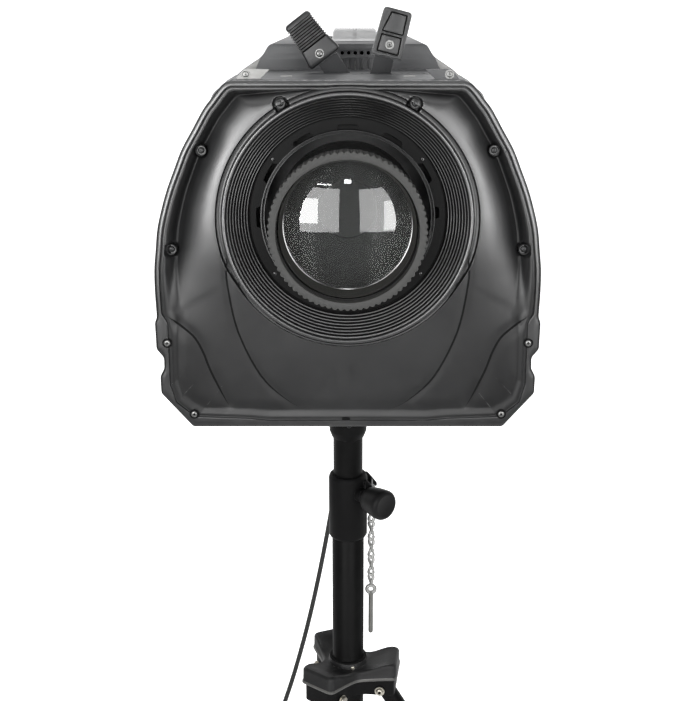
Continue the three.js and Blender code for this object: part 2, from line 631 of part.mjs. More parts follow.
function gripShape(bottomWidth, topWidth, from, to) {
  const shape = new THREE.Shape();
  shape.moveTo(-bottomWidth / 2 + 3, from);
  shape.lineTo(bottomWidth / 2 - 3, from);
  shape.quadraticCurveTo(bottomWidth / 2, from, bottomWidth / 2 - 0.4, from + 3);
  shape.lineTo(topWidth / 2, to - 4);
  shape.quadraticCurveTo(topWidth / 2, to, topWidth / 2 - 4, to);
  shape.lineTo(-topWidth / 2 + 4, to);
  shape.quadraticCurveTo(-topWidth / 2, to, -topWidth / 2, to - 4);
  shape.lineTo(-bottomWidth / 2 + 0.4, from + 3);
  shape.quadraticCurveTo(-bottomWidth / 2, from, -bottomWidth / 2 + 3, from);
  return shape;
}

function addShutterLever() {
  const bar = new THREE.Shape();
  bar.absarc(0, 0, 9, Math.PI, Math.PI * 2);
  bar.lineTo(11, 18);
  bar.lineTo(11, 51.5);
  bar.lineTo(-11, 51.5);
  bar.lineTo(-11, 18);
  bar.closePath();
  bar.holes.push(new THREE.Path().absarc(0, 0, 4.4, 0, Math.PI * 2, true));
  const blade = leverAt(platedY(bar, -2.5, 2.5), -SHUTTER_LEAN, SHUTTER_PIN, SHUTTER_Y);
  place(head, 'shutter_lever', blade, BLACK_PAINT);
  const grip = platedY(gripShape(37, 28, 52.4, 99), -8, 8, 4);
  place(head, 'shutter_grip', leverAt(grip, -SHUTTER_LEAN - 2, SHUTTER_PIN, SHUTTER_Y), GRIP_BLACK);
}

function addIrisLever() {
  const centre = { x: 0, z: 0 };
  const bar = new THREE.Shape([at(-10, 87.5), at(10, 87.5), at(10, 158.5), at(-10, 158.5)]);
  place(head, 'iris_lever', leverAt(platedY(bar, -2.5, 2.5), IRIS_LEAN, centre, IRIS_Y), BLACK_PAINT);
  const grip = platedY(gripShape(31, 27, 159.2, 205), -8, 8, 4);
  place(head, 'iris_grip', leverAt(grip, IRIS_LEAN + 0.6, centre, IRIS_Y), GRIP_BLACK);
}

// ---------------------------------------------------------------- back of the head
function addRearPanel() {
  const outline = mirrored([[0, TOP_Z], [84, TOP_Z], [92, 152], [112, 139], [133, 121], [156, 70],
    [165, SPLIT_Z], [165, -187], [147, FLOOR_Z], [0, FLOOR_Z]]);
  const plate = platedY(outline, HOUSING_END_Y + GAP, REAR_PLATE_Y);
  const switchHole = box(21, 10, 29, SWITCH_X, REAR_PLATE_Y, REAR_ROW_Z);
  const glandHole = turnedY([[0, 330], [7.2, 330], [7.2, 350], [0, 350]], 24)
    .translate(GLAND_X, 0, REAR_ROW_Z);
  place(head, 'rear_panel', cut(plate, switchHole, glandHole), BLACK_PAINT);
}

const BUTTON_X = [-18, 6, 30];
const BUTTON_Z = 56;
const PANEL_FACE_Y = REAR_PLATE_Y + GAP + 6;

function addControlPanel() {
  const bezel = box(130, 6, 76, 0, REAR_PLATE_Y + GAP + 3, 76);
  const windowRecess = box(70, 4, 30, 0, PANEL_FACE_Y - 1, 90);
  const holes = BUTTON_X.map((x) => turnedY([[0, 0], [6.4, 0], [6.4, 20], [0, 20]], 20)
    .translate(x, PANEL_FACE_Y - 4.5, BUTTON_Z));
  place(head, 'control_panel', cut(bezel, windowRecess, ...holes), BLACK_MOULDING);
  place(head, 'display_window', box(69.4, 2.4, 29.4, 0, PANEL_FACE_Y - 1.4, 90), GLASS);
  BUTTON_X.forEach((x, i) => {
    const cap = turnedY([[0, 0], [6, 0], [6, 4.6], [5, 5.6], [0, 5.6]], 20);
    place(head, `menu_button_${i + 1}`, cap.translate(x, PANEL_FACE_Y - 3, BUTTON_Z), GRIP_BLACK);
  });
}

function addRearFittings() {
  const rocker = new THREE.Shape([at(-6, -13), at(0.5, -13), at(4, -12), at(1.6, 0), at(4, 12),
    at(0.5, 13), at(-6, 13)]);
  const key = platedX(rocker, -9.5, 9.5).translate(SWITCH_X, REAR_PLATE_Y, REAR_ROW_Z);
  place(head, 'power_switch', key, GRIP_BLACK);
  const flange = box(66, 3, 30, 104, REAR_PLATE_Y + GAP + 1.5, REAR_ROW_Z);
  const sockets = [88, 120].map((x) => turnedY([[0, 1], [11.5, 1], [11.5, 9], [0, 9]], 20)
    .translate(x, REAR_PLATE_Y + GAP, REAR_ROW_Z));
  place(head, 'signal_sockets', join(flange, ...sockets), STEEL);
  for (const [name, side] of [['rear_handle_right', 1], ['rear_handle_left', -1]]) {
    const bow = new THREE.Shape();
    const back = REAR_PLATE_Y + GAP;
    bow.moveTo(back, -62);
    bow.lineTo(back + 12, -62);
    bow.quadraticCurveTo(back + 35, -62, back + 35, -40);
    bow.lineTo(back + 35, 30);
    bow.quadraticCurveTo(back + 35, 52, back + 12, 52);
    bow.lineTo(back, 52);
    bow.lineTo(back, 38);
    bow.lineTo(back + 12, 38);
    bow.quadraticCurveTo(back + 21, 38, back + 21, 26);
    bow.lineTo(back + 21, -36);
    bow.quadraticCurveTo(back + 21, -48, back + 12, -48);
    bow.lineTo(back, -48);
    place(head, name, platedX(bow, -10, 10, 5).translate(side * 125, 0, 0), GRIP_BLACK);
  }
}

// ---------------------------------------------------------------- mains cord
// The cord's fall from the gland to the floor, then along the floor to the coil.
const CORD_ROUTE = [
  [-42, 353.3, 1080], [-42, 366, 1079], [-42.5, 378, 1073], [-43.4, 386, 1060], [-45.9, 388, 1040],
  [-52.3, 388, 980], [-61.5, 388, 900], [-74, 388, 800], [-88, 388, 700], [-103.7, 388, 600],
  [-121.9, 388, 500], [-143.5, 388, 400], [-170, 388, 300], [-196.9, 388, 220], [-227, 388, 150],
  [-262, 388, 90], [-300, 388, 47], [-341.6, 388, 20.5], [-372, 388, 12.6],
];

function addCord() {
  const bore = CORD_R + GAP;
  const seat = REAR_PLATE_Y + GAP;
  const gland = turnedY([[bore, 336], [6.8, 336], [6.8, seat], [12, seat], [12, 349], [9.4, 352],
    [5.2, GLAND_END_Y], [bore, GLAND_END_Y], [bore, 336]], 24);
  place(head, 'cord_gland', gland.translate(GLAND_X, 0, REAR_ROW_Z), BLACK_RUBBER);
  const stops = CORD_ROUTE.map((point) => new THREE.Vector3(...point));
  const route = new THREE.CatmullRomCurve3(stops, false, 'centripetal');
  const section = new THREE.Shape();
  section.absarc(0, 0, CORD_R, 0, Math.PI * 2);
  const tube = new THREE.ExtrudeGeometry(section, { steps: 60, extrudePath: route, curveSegments: 4 });
  place(followspot, 'power_cord', tube, BLACK_RUBBER);
  const coil = turnedZ(ring(COIL_INNER_R, COIL_OUTER_R, 0.1, COIL_HEIGHT), 36);
  place(followspot, 'cord_coil', coil.translate(COIL_X, COIL_Y, 0), BLACK_RUBBER);
}

function addPlug() {
  const body = turnedX([[0, 0], [5.5, 0], [7, 4], [10, 20], [13, 26], [13, 48], [0, 48]], 20);
  const blades = [5.5, -5.5].map((y) => box(16, 1.6, 6.4, 55, y, 2.5));
  const ground = rod(2.4, new THREE.Vector3(46, 0, -6), new THREE.Vector3(64, 0, -6), 12);
  const plug = join(body, ...blades, ground);
  place(followspot, 'cord_plug', plug.translate(COIL_X + 43, COIL_Y - 34.5, 13.1), BLACK_RUBBER);
}

addColumn();
addLockCollar();
addLockKnob();
addLegHub();
addLegs();
addSpreader();
addKeeperPin();
addSocketAndYoke();
addTiltKnobs();
addFrontCover();
addBaffle();
addBulkhead();
addLensGroup();
addGate();
addLightEngine();
addLowerHousing();
addFrontTopCover();
addTopCover();
addCarryHandle();
addShutterLever();
addIrisLever();
addRearPanel();
addControlPanel();
addRearFittings();
addCord();
addPlug();

export default followspot;
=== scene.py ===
"""The looks of a followspot on its tripod stand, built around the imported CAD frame."""
from math import atan2, cos, degrees, exp, hypot, pi, radians, sin, sqrt

import bmesh
import bpy
from mathutils import Matrix, Vector
from mathutils.kdtree import KDTree


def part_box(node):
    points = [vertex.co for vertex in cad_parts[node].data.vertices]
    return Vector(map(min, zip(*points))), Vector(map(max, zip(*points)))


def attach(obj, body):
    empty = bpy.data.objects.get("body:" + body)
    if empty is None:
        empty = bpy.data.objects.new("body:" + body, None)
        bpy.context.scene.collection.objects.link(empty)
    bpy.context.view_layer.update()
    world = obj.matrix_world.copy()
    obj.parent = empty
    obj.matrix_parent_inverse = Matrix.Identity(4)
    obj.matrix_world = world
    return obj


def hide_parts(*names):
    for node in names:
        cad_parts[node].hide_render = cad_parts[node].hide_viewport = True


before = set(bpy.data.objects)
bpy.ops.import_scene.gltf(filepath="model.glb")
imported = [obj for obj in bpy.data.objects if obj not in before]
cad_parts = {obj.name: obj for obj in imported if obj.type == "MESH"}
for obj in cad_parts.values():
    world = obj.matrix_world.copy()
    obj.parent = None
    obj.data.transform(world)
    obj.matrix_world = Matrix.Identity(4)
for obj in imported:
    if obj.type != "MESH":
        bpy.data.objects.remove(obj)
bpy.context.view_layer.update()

MM = 0.001


def middle(node):
    """The centre of a CAD node's box, in millimetres."""
    low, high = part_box(node)
    return (low + high) / 2 / MM


COLUMN = middle("outer_tube")
AXIS = middle("focus_ring")
HEAD = Vector((COLUMN.x, COLUMN.y, AXIS.z))      # on the optical axis, above the column
STAND = Vector((COLUMN.x, COLUMN.y, 0))
ROW = Vector((0, 0, 0))
FRONT = "Y"

# ------------------------------------------------------------------ camera and light
CAMERA_OFFSET = Vector((1.8, -1338, 201))         # from HEAD
CAMERA_PITCH = 16.3                               # degrees, looking down
CAMERA_LENS, CAMERA_SENSOR = 60.03, 36


def add_camera():
    data = bpy.data.cameras.new("camera")
    data.sensor_width = CAMERA_SENSOR
    data.lens = CAMERA_LENS
    camera = bpy.data.objects.new("camera", data)
    camera.location = (HEAD + CAMERA_OFFSET) * MM
    camera.rotation_euler = (radians(90 - CAMERA_PITCH), 0, 0)
    bpy.context.scene.collection.objects.link(camera)
    bpy.context.scene.camera = camera


# Size, power and place from the head, in metres and watts.
LIGHTS = {
    "window_left": ((1.3, 1.35), 42, (-0.88, -2.5, 0.08)),
    "window_left_glow": ((0.62, 0.75), 22, (-1.18, -2.4, 0.05)),
    "window_right": ((1.35, 1.35), 42, (1.0, -2.5, 0.08)),
    "window_right_glow": ((0.5, 0.9), 13, (1.34, -2.4, -0.1)),
    "ceiling": ((2.4, 2.4), 34, (0, 0.1, 1.9)),
    "ceiling_lamp": ((0.2, 0.12), 2.4, (0, -2.4, 0.9)),
    "ceiling_tube": ((0.55, 0.04), 2.0, (-0.75, -2.4, 0.83)),
    "high_strip": ((2.6, 0.5), 12, (0, -1.75, 1.7)),
    "back_fill_right": ((1.5, 1.5), 26, (2.3, 1.9, 0.9)),
    "back_fill_left": ((1.5, 1.5), 20, (-2.3, 1.9, 0.9)),
}


def add_studio():
    """Area lights that face the head, and a faint cool world."""
    head = HEAD * MM
    for name, (size, power, offset) in LIGHTS.items():
        data = bpy.data.lights.new(name, "AREA")
        data.shape = "RECTANGLE"
        data.size, data.size_y = size
        data.energy = power
        light = bpy.data.objects.new(name, data)
        light.location = head + Vector(offset)
        light.rotation_euler = (head - light.location).to_track_quat("-Z", "Y").to_euler()
        bpy.context.scene.collection.objects.link(light)
    world = bpy.data.worlds.new("studio")
    world.use_nodes = True
    background = world.node_tree.nodes["Background"].inputs
    background["Color"].default_value = (0.93, 0.96, 1, 1)
    background["Strength"].default_value = 0.12
    bpy.context.scene.world = world
    bpy.context.scene.view_settings.view_transform = "Standard"


add_camera()

# ------------------------------------------------------------------ shapes, in millimetres


class Shape:
    """Points, faces, and which of a piece's finishes each face has."""

    def __init__(self, points=(), faces=(), finish=0):
        self.points = [Vector(p) for p in points]
        self.faces = [tuple(f) for f in faces]
        self.finishes = [finish] * len(self.faces)

    def add(self, *others):
        for other in others:
            base = len(self.points)
            self.points += other.points
            self.faces += [tuple(base + i for i in face) for face in other.faces]
            self.finishes += other.finishes
        return self

    def painted(self, finish):
        self.finishes = [finish] * len(self.faces)
        return self

    def moved(self, x=0, y=0, z=0):
        step = Vector((x, y, z))
        self.points = [p + step for p in self.points]
        return self

    def turned(self, axis, angle):
        turn = Matrix.Rotation(radians(angle), 3, axis)
        self.points = [turn @ p for p in self.points]
        return self

    def copy(self):
        twin = Shape(self.points, self.faces)
        twin.finishes = list(self.finishes)
        return twin

    def flipped(self):
        """Its mirror image across the plane x = 0."""
        twin = Shape([(-p.x, p.y, p.z) for p in self.points], [f[::-1] for f in self.faces])
        twin.finishes = list(self.finishes)
        return twin


def polar(radius, angle):
    """The point at a radius and an angle in degrees."""
    return radius * cos(radians(angle)), radius * sin(radians(angle))


def hexagon(r, turn):
    """The radius of a hexagon with an inside radius r, at a turn."""
    return r / cos((turn % (pi / 3)) - pi / 6)


def put(axis, across, up, along):
    """A point given across and up in the plane that faces axis, and along that axis."""
    return {"X": (along, across, up), "Y": (across, along, up), "Z": (across, up, along)}[axis]


def loft(loops, ring=False, caps=True, finish=0):
    """Faces between closed loops with the same number of points."""
    count = len(loops[0])
    points = [p for loop in loops for p in loop]
    faces = []
    rows = len(loops) if ring else len(loops) - 1
    for row in range(rows):
        a = row * count
        b = ((row + 1) % len(loops)) * count
        for i in range(count):
            j = (i + 1) % count
            faces.append((a + i, a + j, b + j, b + i))
    if caps and not ring:
        faces.append(tuple(range(count))[::-1])
        faces.append(tuple(range((len(loops) - 1) * count, len(loops) * count)))
    return Shape(points, faces, finish)


def lathe(profile, axis=FRONT, segments=96, ring=True, radius=None, finish=0):
    """A turned shape from (radius, distance) pairs.

    radius(r, turn, i) may change r round the turn. A ring's profile closes on itself.
    """
    loops = []
    for i, (r, along) in enumerate(profile):
        loop = []
        for k in range(segments):
            turn = 2 * pi * k / segments
            here = radius(r, turn, i) if radius else r
            loop.append(put(axis, here * cos(turn), here * sin(turn), along))
        loops.append(loop)
    return loft(loops, ring=ring, caps=False, finish=finish)


def smooth_path(stops, steps=8):
    """A Catmull-Rom line through the stops."""
    stops = [Vector(s) for s in stops]
    ends = [2 * stops[0] - stops[1]] + stops + [2 * stops[-1] - stops[-2]]
    line = []
    for a, b, c, d in zip(ends, ends[1:], ends[2:], ends[3:]):
        for k in range(steps):
            t = k / steps
            line.append(0.5 * (2 * b + (c - a) * t + (2 * a - 5 * b + 4 * c - d) * t * t
                               + (3 * b - a - 3 * c + d) * t * t * t))
    return line + [stops[-1]]


def sweep(path, section, closed=False, up=(0, 0, 1), sizes=None, finish=0):
    """A section of (across, up) pairs carried along a path."""
    path = [Vector(p) for p in path]
    loops = []
    side = None
    for i, here in enumerate(path):
        before = path[i - 1] if closed or i else here
        after = path[(i + 1) % len(path)] if closed or i + 1 < len(path) else here
        ahead = (after - before).normalized()
        if side is None:
            side = ahead.cross(Vector(up)).normalized()
        side = (side - ahead * side.dot(ahead)).normalized()
        lift = side.cross(ahead)
        size = sizes[i] if sizes else 1
        loops.append([here + side * (a * size) + lift * (b * size) for a, b in section])
    return loft(loops, ring=closed, finish=finish)


def circle(radius, count=16, x=0.0, y=0.0):
    """An outline round (x, y)."""
    return [(x + radius * cos(2 * pi * k / count),
             y + radius * sin(2 * pi * k / count)) for k in range(count)]


def rounded(corners, radius=2.0, steps=4):
    """A closed outline with its corners rounded; a corner may give its own radius third."""
    outline = []
    for i, corner in enumerate(corners):
        here = Vector(corner[:2])
        r = corner[2] if len(corner) > 2 else radius
        before = Vector(corners[i - 1][:2]) - here
        after = Vector(corners[(i + 1) % len(corners)][:2]) - here
        reach = min(r, before.length * 0.45, after.length * 0.45)
        a, b = here + before.normalized() * reach, here + after.normalized() * reach
        for k in range(steps + 1):
            t = k / steps
            outline.append((a * (1 - t) ** 2 + here * 2 * t * (1 - t) + b * t * t)[:])
    return outline


def mirror_outline(right):
    """A whole outline from its right half, given from top to bottom."""
    left = [(-p[0], *p[1:]) for p in reversed(right) if p[0] > 0]
    return list(right) + left


def plate(outline, start, end, holes=(), bevel=0.6, axis=FRONT, finish=0):
    """A plate with softened edges: an outline and holes, pushed along an axis."""
    curve = bpy.data.curves.new("outline", "CURVE")
    curve.dimensions = "2D"
    curve.fill_mode = "BOTH"
    curve.bevel_depth = bevel
    curve.bevel_resolution = 1
    curve.extrude = abs(end - start) / 2 - bevel
    curve.offset = -bevel
    for ring in (outline, *holes):
        spline = curve.splines.new("POLY")
        spline.points.add(len(ring) - 1)
        for point, (u, v) in zip(spline.points, ring):
            point.co = (u, v, 0, 1)
        spline.use_cyclic_u = True
    holder = bpy.data.objects.new("outline", curve)
    bpy.context.scene.collection.objects.link(holder)
    mesh = bpy.data.meshes.new_from_object(
        holder.evaluated_get(bpy.context.evaluated_depsgraph_get()))
    centre = (start + end) / 2
    points = [put(axis, v.co.x, v.co.y, centre + v.co.z) for v in mesh.vertices]
    faces = [tuple(p.vertices) for p in mesh.polygons]
    bpy.data.objects.remove(holder)
    bpy.data.curves.remove(curve)
    bpy.data.meshes.remove(mesh)
    return Shape(points, faces, finish)


def block(size, centre=(0, 0, 0), bevel=0.8, finish=0):
    """A box with rounded edges."""
    bm = bmesh.new()
    bmesh.ops.create_cube(bm, size=1)
    bmesh.ops.scale(bm, vec=size, verts=bm.verts)
    bmesh.ops.bevel(bm, geom=bm.edges[:], offset=bevel, segments=3, profile=0.5, affect="EDGES")
    points = [v.co + Vector(centre) for v in bm.verts]
    bm.verts.index_update()
    faces = [[v.index for v in f.verts] for f in bm.faces]
    bm.free()
    return Shape(points, faces, finish)


def rod(start, end, radius, count=20, chamfer=0.4, finish=0):
    """A round bar with chamfered ends."""
    start, end = Vector(start), Vector(end)
    run = (end - start).normalized()
    up = Vector((0, 0, 1)) if abs(run.z) < 0.9 else Vector((1, 0, 0))
    path = [start, start + run * chamfer, end - run * chamfer, end]
    inner = (radius - chamfer) / radius
    return sweep(path, circle(radius, count), up=up, sizes=[inner, 1, 1, inner], finish=finish)


def make(name, shape, body, finishes, origin=HEAD, crease=34, replaces=()):
    """Turns a shape into a Blender object that rides on a CAD body."""
    mesh = bpy.data.meshes.new(name)
    mesh.from_pydata([(origin + p) * MM for p in shape.points], [], shape.faces)
    finishes = finishes if isinstance(finishes, (list, tuple)) else [finishes]
    for finish in finishes:
        mesh.materials.append(finish)
    mesh.polygons.foreach_set("material_index", shape.finishes)
    bm = bmesh.new()
    bm.from_mesh(mesh)
    bmesh.ops.remove_doubles(bm, verts=bm.verts, dist=1e-5)
    bmesh.ops.dissolve_degenerate(bm, dist=1e-6, edges=bm.edges)
    bmesh.ops.recalc_face_normals(bm, faces=bm.faces)
    for face in bm.faces:
        face.smooth = True
    for edge in bm.edges:
        edge.smooth = len(edge.link_faces) == 2 and edge.calc_face_angle(0) < radians(crease)
    bm.to_mesh(mesh)
    bm.free()
    piece = bpy.data.objects.new(name, mesh)
    bpy.context.scene.collection.objects.link(piece)
    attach(piece, body)
    if replaces:
        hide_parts(*replaces)
    return piece


# ------------------------------------------------------------------ finishes


class Graph:
    """Short calls for building a material's nodes."""

    def __init__(self, name):
        self.material = bpy.data.materials.new(name)
        self.material.use_nodes = True
        self.tree = self.material.node_tree
        self.shader = self.tree.nodes["Principled BSDF"]
        self.place = self.add("ShaderNodeTexCoord").outputs["Object"]

    def add(self, kind, settings=None, **inputs):
        node = self.tree.nodes.new(kind)
        for key, value in (settings or {}).items():
            setattr(node, key, value)
        for key, value in inputs.items():
            self.feed(node.inputs[int(key[1:]) if key[0] == "i" and key[1:].isdigit() else key],
                      value)
        return node

    def feed(self, socket, value):
        if isinstance(value, bpy.types.NodeSocket):
            self.tree.links.new(value, socket)
        elif isinstance(value, tuple) and len(value) == 3 and socket.type == "RGBA":
            socket.default_value = (*value, 1)
        else:
            socket.default_value = value

    def noise(self, scale, detail=4, rough=0.55, place=None):
        return self.add("ShaderNodeTexNoise", Vector=place or self.place, Scale=scale,
                        Detail=detail, Roughness=rough).outputs["Fac"]

    def span(self, value, low, high, to_low=0.0, to_high=1.0):
        node = self.add("ShaderNodeMapRange", i0=value, i1=low, i2=high, i3=to_low, i4=to_high)
        return node.outputs[0]

    def blend(self, share, first, second):
        node = self.add("ShaderNodeMix", {"data_type": "RGBA"}, i0=share, i6=first, i7=second)
        return node.outputs[2]

    def math(self, operation, first, second=0.0):
        return self.add("ShaderNodeMath", {"operation": operation}, i0=first, i1=second).outputs[0]

    def stretched(self, x=1.0, y=1.0, z=1.0):
        return self.add("ShaderNodeMapping", Vector=self.place, Scale=(x, y, z)).outputs[0]

    def worn_edges(self, radius):
        """1 on outside edges, 0 on flat faces."""
        soft = self.add("ShaderNodeBevel", {"samples": 4}, Radius=radius).outputs[0]
        sharp = self.add("ShaderNodeNewGeometry").outputs["Normal"]
        dot = self.add("ShaderNodeVectorMath", {"operation": "DOT_PRODUCT"}, i0=soft, i1=sharp)
        return self.span(dot.outputs["Value"], 0.985, 0.9)


def finish(name, colour, rough, *, metal=0.0, specular=0.5, mottle=0.18, patch=14, spread=0.07,
           grain=0.12, grain_scale=1400, wear=None, wear_colour=0.10,
           dust=0.0, coat=0.0, streak=None):
    """A surface with uneven colour and gloss, a fine grain, worn edges and dust.

    A colour is a grey level or a triple.
    """
    colour, wear_colour = (c if isinstance(c, tuple) else (c, c, c) for c in (colour, wear_colour))
    g = Graph(name)
    place = g.stretched(*streak) if streak else g.place
    broad = g.noise(patch, place=place)
    fine = g.noise(patch * 9, place=place)
    uneven = g.math("ADD", g.math("MULTIPLY", broad, 0.65), g.math("MULTIPLY", fine, 0.35))
    share = g.span(uneven, 0.3, 0.7)
    dark = tuple(c * (1 - mottle) for c in colour)
    light = tuple(c * (1 + mottle) for c in colour)
    shade = g.blend(share, dark, light)
    gloss = g.span(uneven, 0.3, 0.7, rough - spread, rough + spread)
    if wear:
        edge = g.math("MULTIPLY", g.worn_edges(wear), g.span(g.noise(160), 0.42, 0.62))
        shade = g.blend(edge, shade, wear_colour)
    if dust:
        up = g.add("ShaderNodeSeparateXYZ", Vector=g.add("ShaderNodeNewGeometry").outputs["Normal"])
        lying = g.math("MULTIPLY", g.span(up.outputs["Z"], 0.3, 1.0), g.span(g.noise(70), 0.4, 0.8))
        shade = g.blend(g.math("MULTIPLY", lying, dust), shade, (0.30, 0.29, 0.28))
    g.feed(g.shader.inputs["Base Color"], shade)
    g.feed(g.shader.inputs["Roughness"], gloss)
    g.shader.inputs["Metallic"].default_value = metal
    g.shader.inputs["Specular IOR Level"].default_value = specular
    g.shader.inputs["Coat Weight"].default_value = coat
    g.shader.inputs["Coat Roughness"].default_value = 0.15
    if grain:
        height = g.noise(grain_scale, detail=2, place=g.stretched(*streak) if streak else None)
        bump = g.add("ShaderNodeBump", Strength=grain, Distance=0.0004, Height=height)
        g.feed(g.shader.inputs["Normal"], bump.outputs[0])
    return g.material


def glass(name, tint, ior, clear=1.0):
    g = Graph(name)
    tone = g.blend(g.noise(9), tint, tuple(min(1, c * 1.03) for c in tint))
    g.feed(g.shader.inputs["Base Color"], tone)
    g.shader.inputs["Roughness"].default_value = 0.0
    g.shader.inputs["IOR"].default_value = ior
    g.shader.inputs["Transmission Weight"].default_value = clear
    return g.material


MOULDED = finish("moulded_black", (0.0065, 0.0065, 0.0067), 0.34, specular=0.62, grain=0.1,
                 grain_scale=1800, patch=9, spread=0.05, wear=0.0008, wear_colour=0.05)
COVER_PAINT = finish("dark_grey_paint", (0.047, 0.048, 0.05), 0.46, specular=0.4, grain=0.08,
                     grain_scale=1100, wear=0.0009, wear_colour=0.2, dust=0.06)
STAND_PAINT = finish("black_powder_coat", (0.0036, 0.0036, 0.0037), 0.55, specular=0.05, grain=0.2,
                     grain_scale=1300, wear=0.0008, wear_colour=0.03)
LEVER_PAINT = finish("lever_paint", (0.015, 0.0155, 0.0165), 0.55, specular=0.2, grain=0.2,
                     wear=0.0007, wear_colour=0.2)
GRIP = finish("grip_plastic", (0.0125, 0.0127, 0.0132), 0.42, specular=0.38, grain=0.08,
              grain_scale=900, wear=0.0008, wear_colour=0.14)
RUBBER = finish("black_rubber", 0.012, 0.72, specular=0.35, grain=0.3,
                grain_scale=700, dust=0.25)
TUBE_BLACK = finish("lens_tube_black", 0.005, 0.3, specular=0.45, grain=0.06)
RING_BLACK = finish("focus_ring_black", (0.022, 0.022, 0.021), 0.6, specular=0.4, grain=0.5,
                    grain_scale=1500, wear=0.0004, wear_colour=(0.16, 0.16, 0.15))
CONE_BLACK = finish("lens_cone_black", (0.02, 0.02, 0.018), 0.6, specular=0.3, grain=0.3,
                    grain_scale=1500)
STEEL = finish("zinc_steel", (0.17, 0.17, 0.166), 0.36, metal=1.0, mottle=0.14, patch=60,
               spread=0.1,
               grain=0.2)
DARK_STEEL = finish("black_screw_steel", (0.016, 0.016, 0.0165), 0.3, metal=0.6, mottle=0.2,
                    patch=80,
                    grain=0.15)
ALUMINIUM = finish("aluminium", (0.7, 0.71, 0.72), 0.36, metal=1.0, mottle=0.06, patch=30,
                   grain=0.25, grain_scale=300, streak=(1, 12, 1))
DARK_HOLE = finish("shadowed_recess", 0.003, 0.8, specular=0.1, grain=0.1)
LENS_GLASS = glass("lens_glass", (0.66, 0.67, 0.66), 1.5, clear=0.978)
COATED_GLASS = glass("coated_lens_glass", (0.7, 0.71, 0.7), 1.14, clear=0.985)
BLACK_ANODISED = finish("black_anodised", 0.02, 0.5, specular=0.2, grain=0.15)
DISPLAY = finish("display_glass", (0.01, 0.014, 0.016), 0.08, specular=0.6, spread=0.03, grain=0.0,
                 coat=0.6)

# ------------------------------------------------------------------ mains cord
CORD_DIAMETER = 0.0076
CORD_EXIT = (-0.042, 0.3533, 1.080)
# The route of the CAD cord, in metres: down from the gland, then in to the coil on the floor.
CORD_ROUTE = [
    CORD_EXIT, (-0.042, 0.366, 1.079), (-0.0425, 0.378, 1.073), (-0.0434, 0.386, 1.060),
    (-0.0459, 0.388, 1.040), (-0.0523, 0.388, 0.980), (-0.0615, 0.388, 0.900),
    (-0.074, 0.388, 0.800), (-0.088, 0.388, 0.700), (-0.1037, 0.388, 0.600),
    (-0.1219, 0.388, 0.500), (-0.1435, 0.388, 0.400), (-0.170, 0.388, 0.300),
    (-0.1969, 0.388, 0.220), (-0.227, 0.388, 0.150), (-0.262, 0.388, 0.090),
    (-0.300, 0.388, 0.047), (-0.3416, 0.388, 0.0205), (-0.372, 0.388, 0.0126),
]
COIL_CENTRE = Vector((-0.401, 0.347))
COIL_PITCH = 0.0077
COIL_OUTSIDE = 0.0408                             # radius of the outermost turn's centreline
COIL_LOW, COIL_HIGH = 0.0039, 0.0116
PLUG_BACK = Vector((-0.358, 0.3125, 0.0131))


def coil_point(turns):
    """Two turns in along the top, one down, two out along the floor, and half a turn to leave."""
    inside = COIL_OUTSIDE - 2 * COIL_PITCH
    if turns <= 2:
        radius, height = COIL_OUTSIDE - COIL_PITCH * turns, COIL_HIGH
    elif turns <= 3:
        radius, height = inside, COIL_HIGH + (COIL_LOW - COIL_HIGH) * (turns - 2)
    elif turns <= 5:
        radius, height = inside + COIL_PITCH * (turns - 3), COIL_LOW
    else:
        radius, height = COIL_OUTSIDE, COIL_LOW
    turn = radians(90) + 2 * pi * turns
    return Vector((COIL_CENTRE.x + radius * cos(turn),
                   COIL_CENTRE.y + radius * sin(turn), height))


def add_cord():
    steps_per_turn = 24
    coil = [coil_point(k / steps_per_turn) for k in range(1, int(5.5 * steps_per_turn) + 1)]
    line = smooth_path([*CORD_ROUTE, coil_point(0)], steps=5)[:-1] + [coil_point(0), *coil]
    last = coil[-1]
    tail = [last + (PLUG_BACK - last) * t + Vector((0.004 * sin(pi * t), 0, 0))
            for t in (0.35, 0.7, 1.0)]
    line += smooth_path([last, *tail], steps=4)[1:]
    curve = bpy.data.curves.new("mains_cord", "CURVE")
    curve.dimensions = "3D"
    curve.bevel_depth = CORD_DIAMETER / 2
    curve.bevel_resolution = 4
    spline = curve.splines.new("POLY")
    spline.points.add(len(line) - 1)
    for point, place in zip(spline.points, line):
        point.co = (*place, 1)
    curve.materials.append(RUBBER)
    cord = bpy.data.objects.new("mains_cord", curve)
    bpy.context.scene.collection.objects.link(cord)
    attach(cord, "stand")
    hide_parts("power_cord", "cord_coil")
    length = sum((b - a).length for a, b in zip(map(Vector, line), map(Vector, line[1:])))
    return cord, length


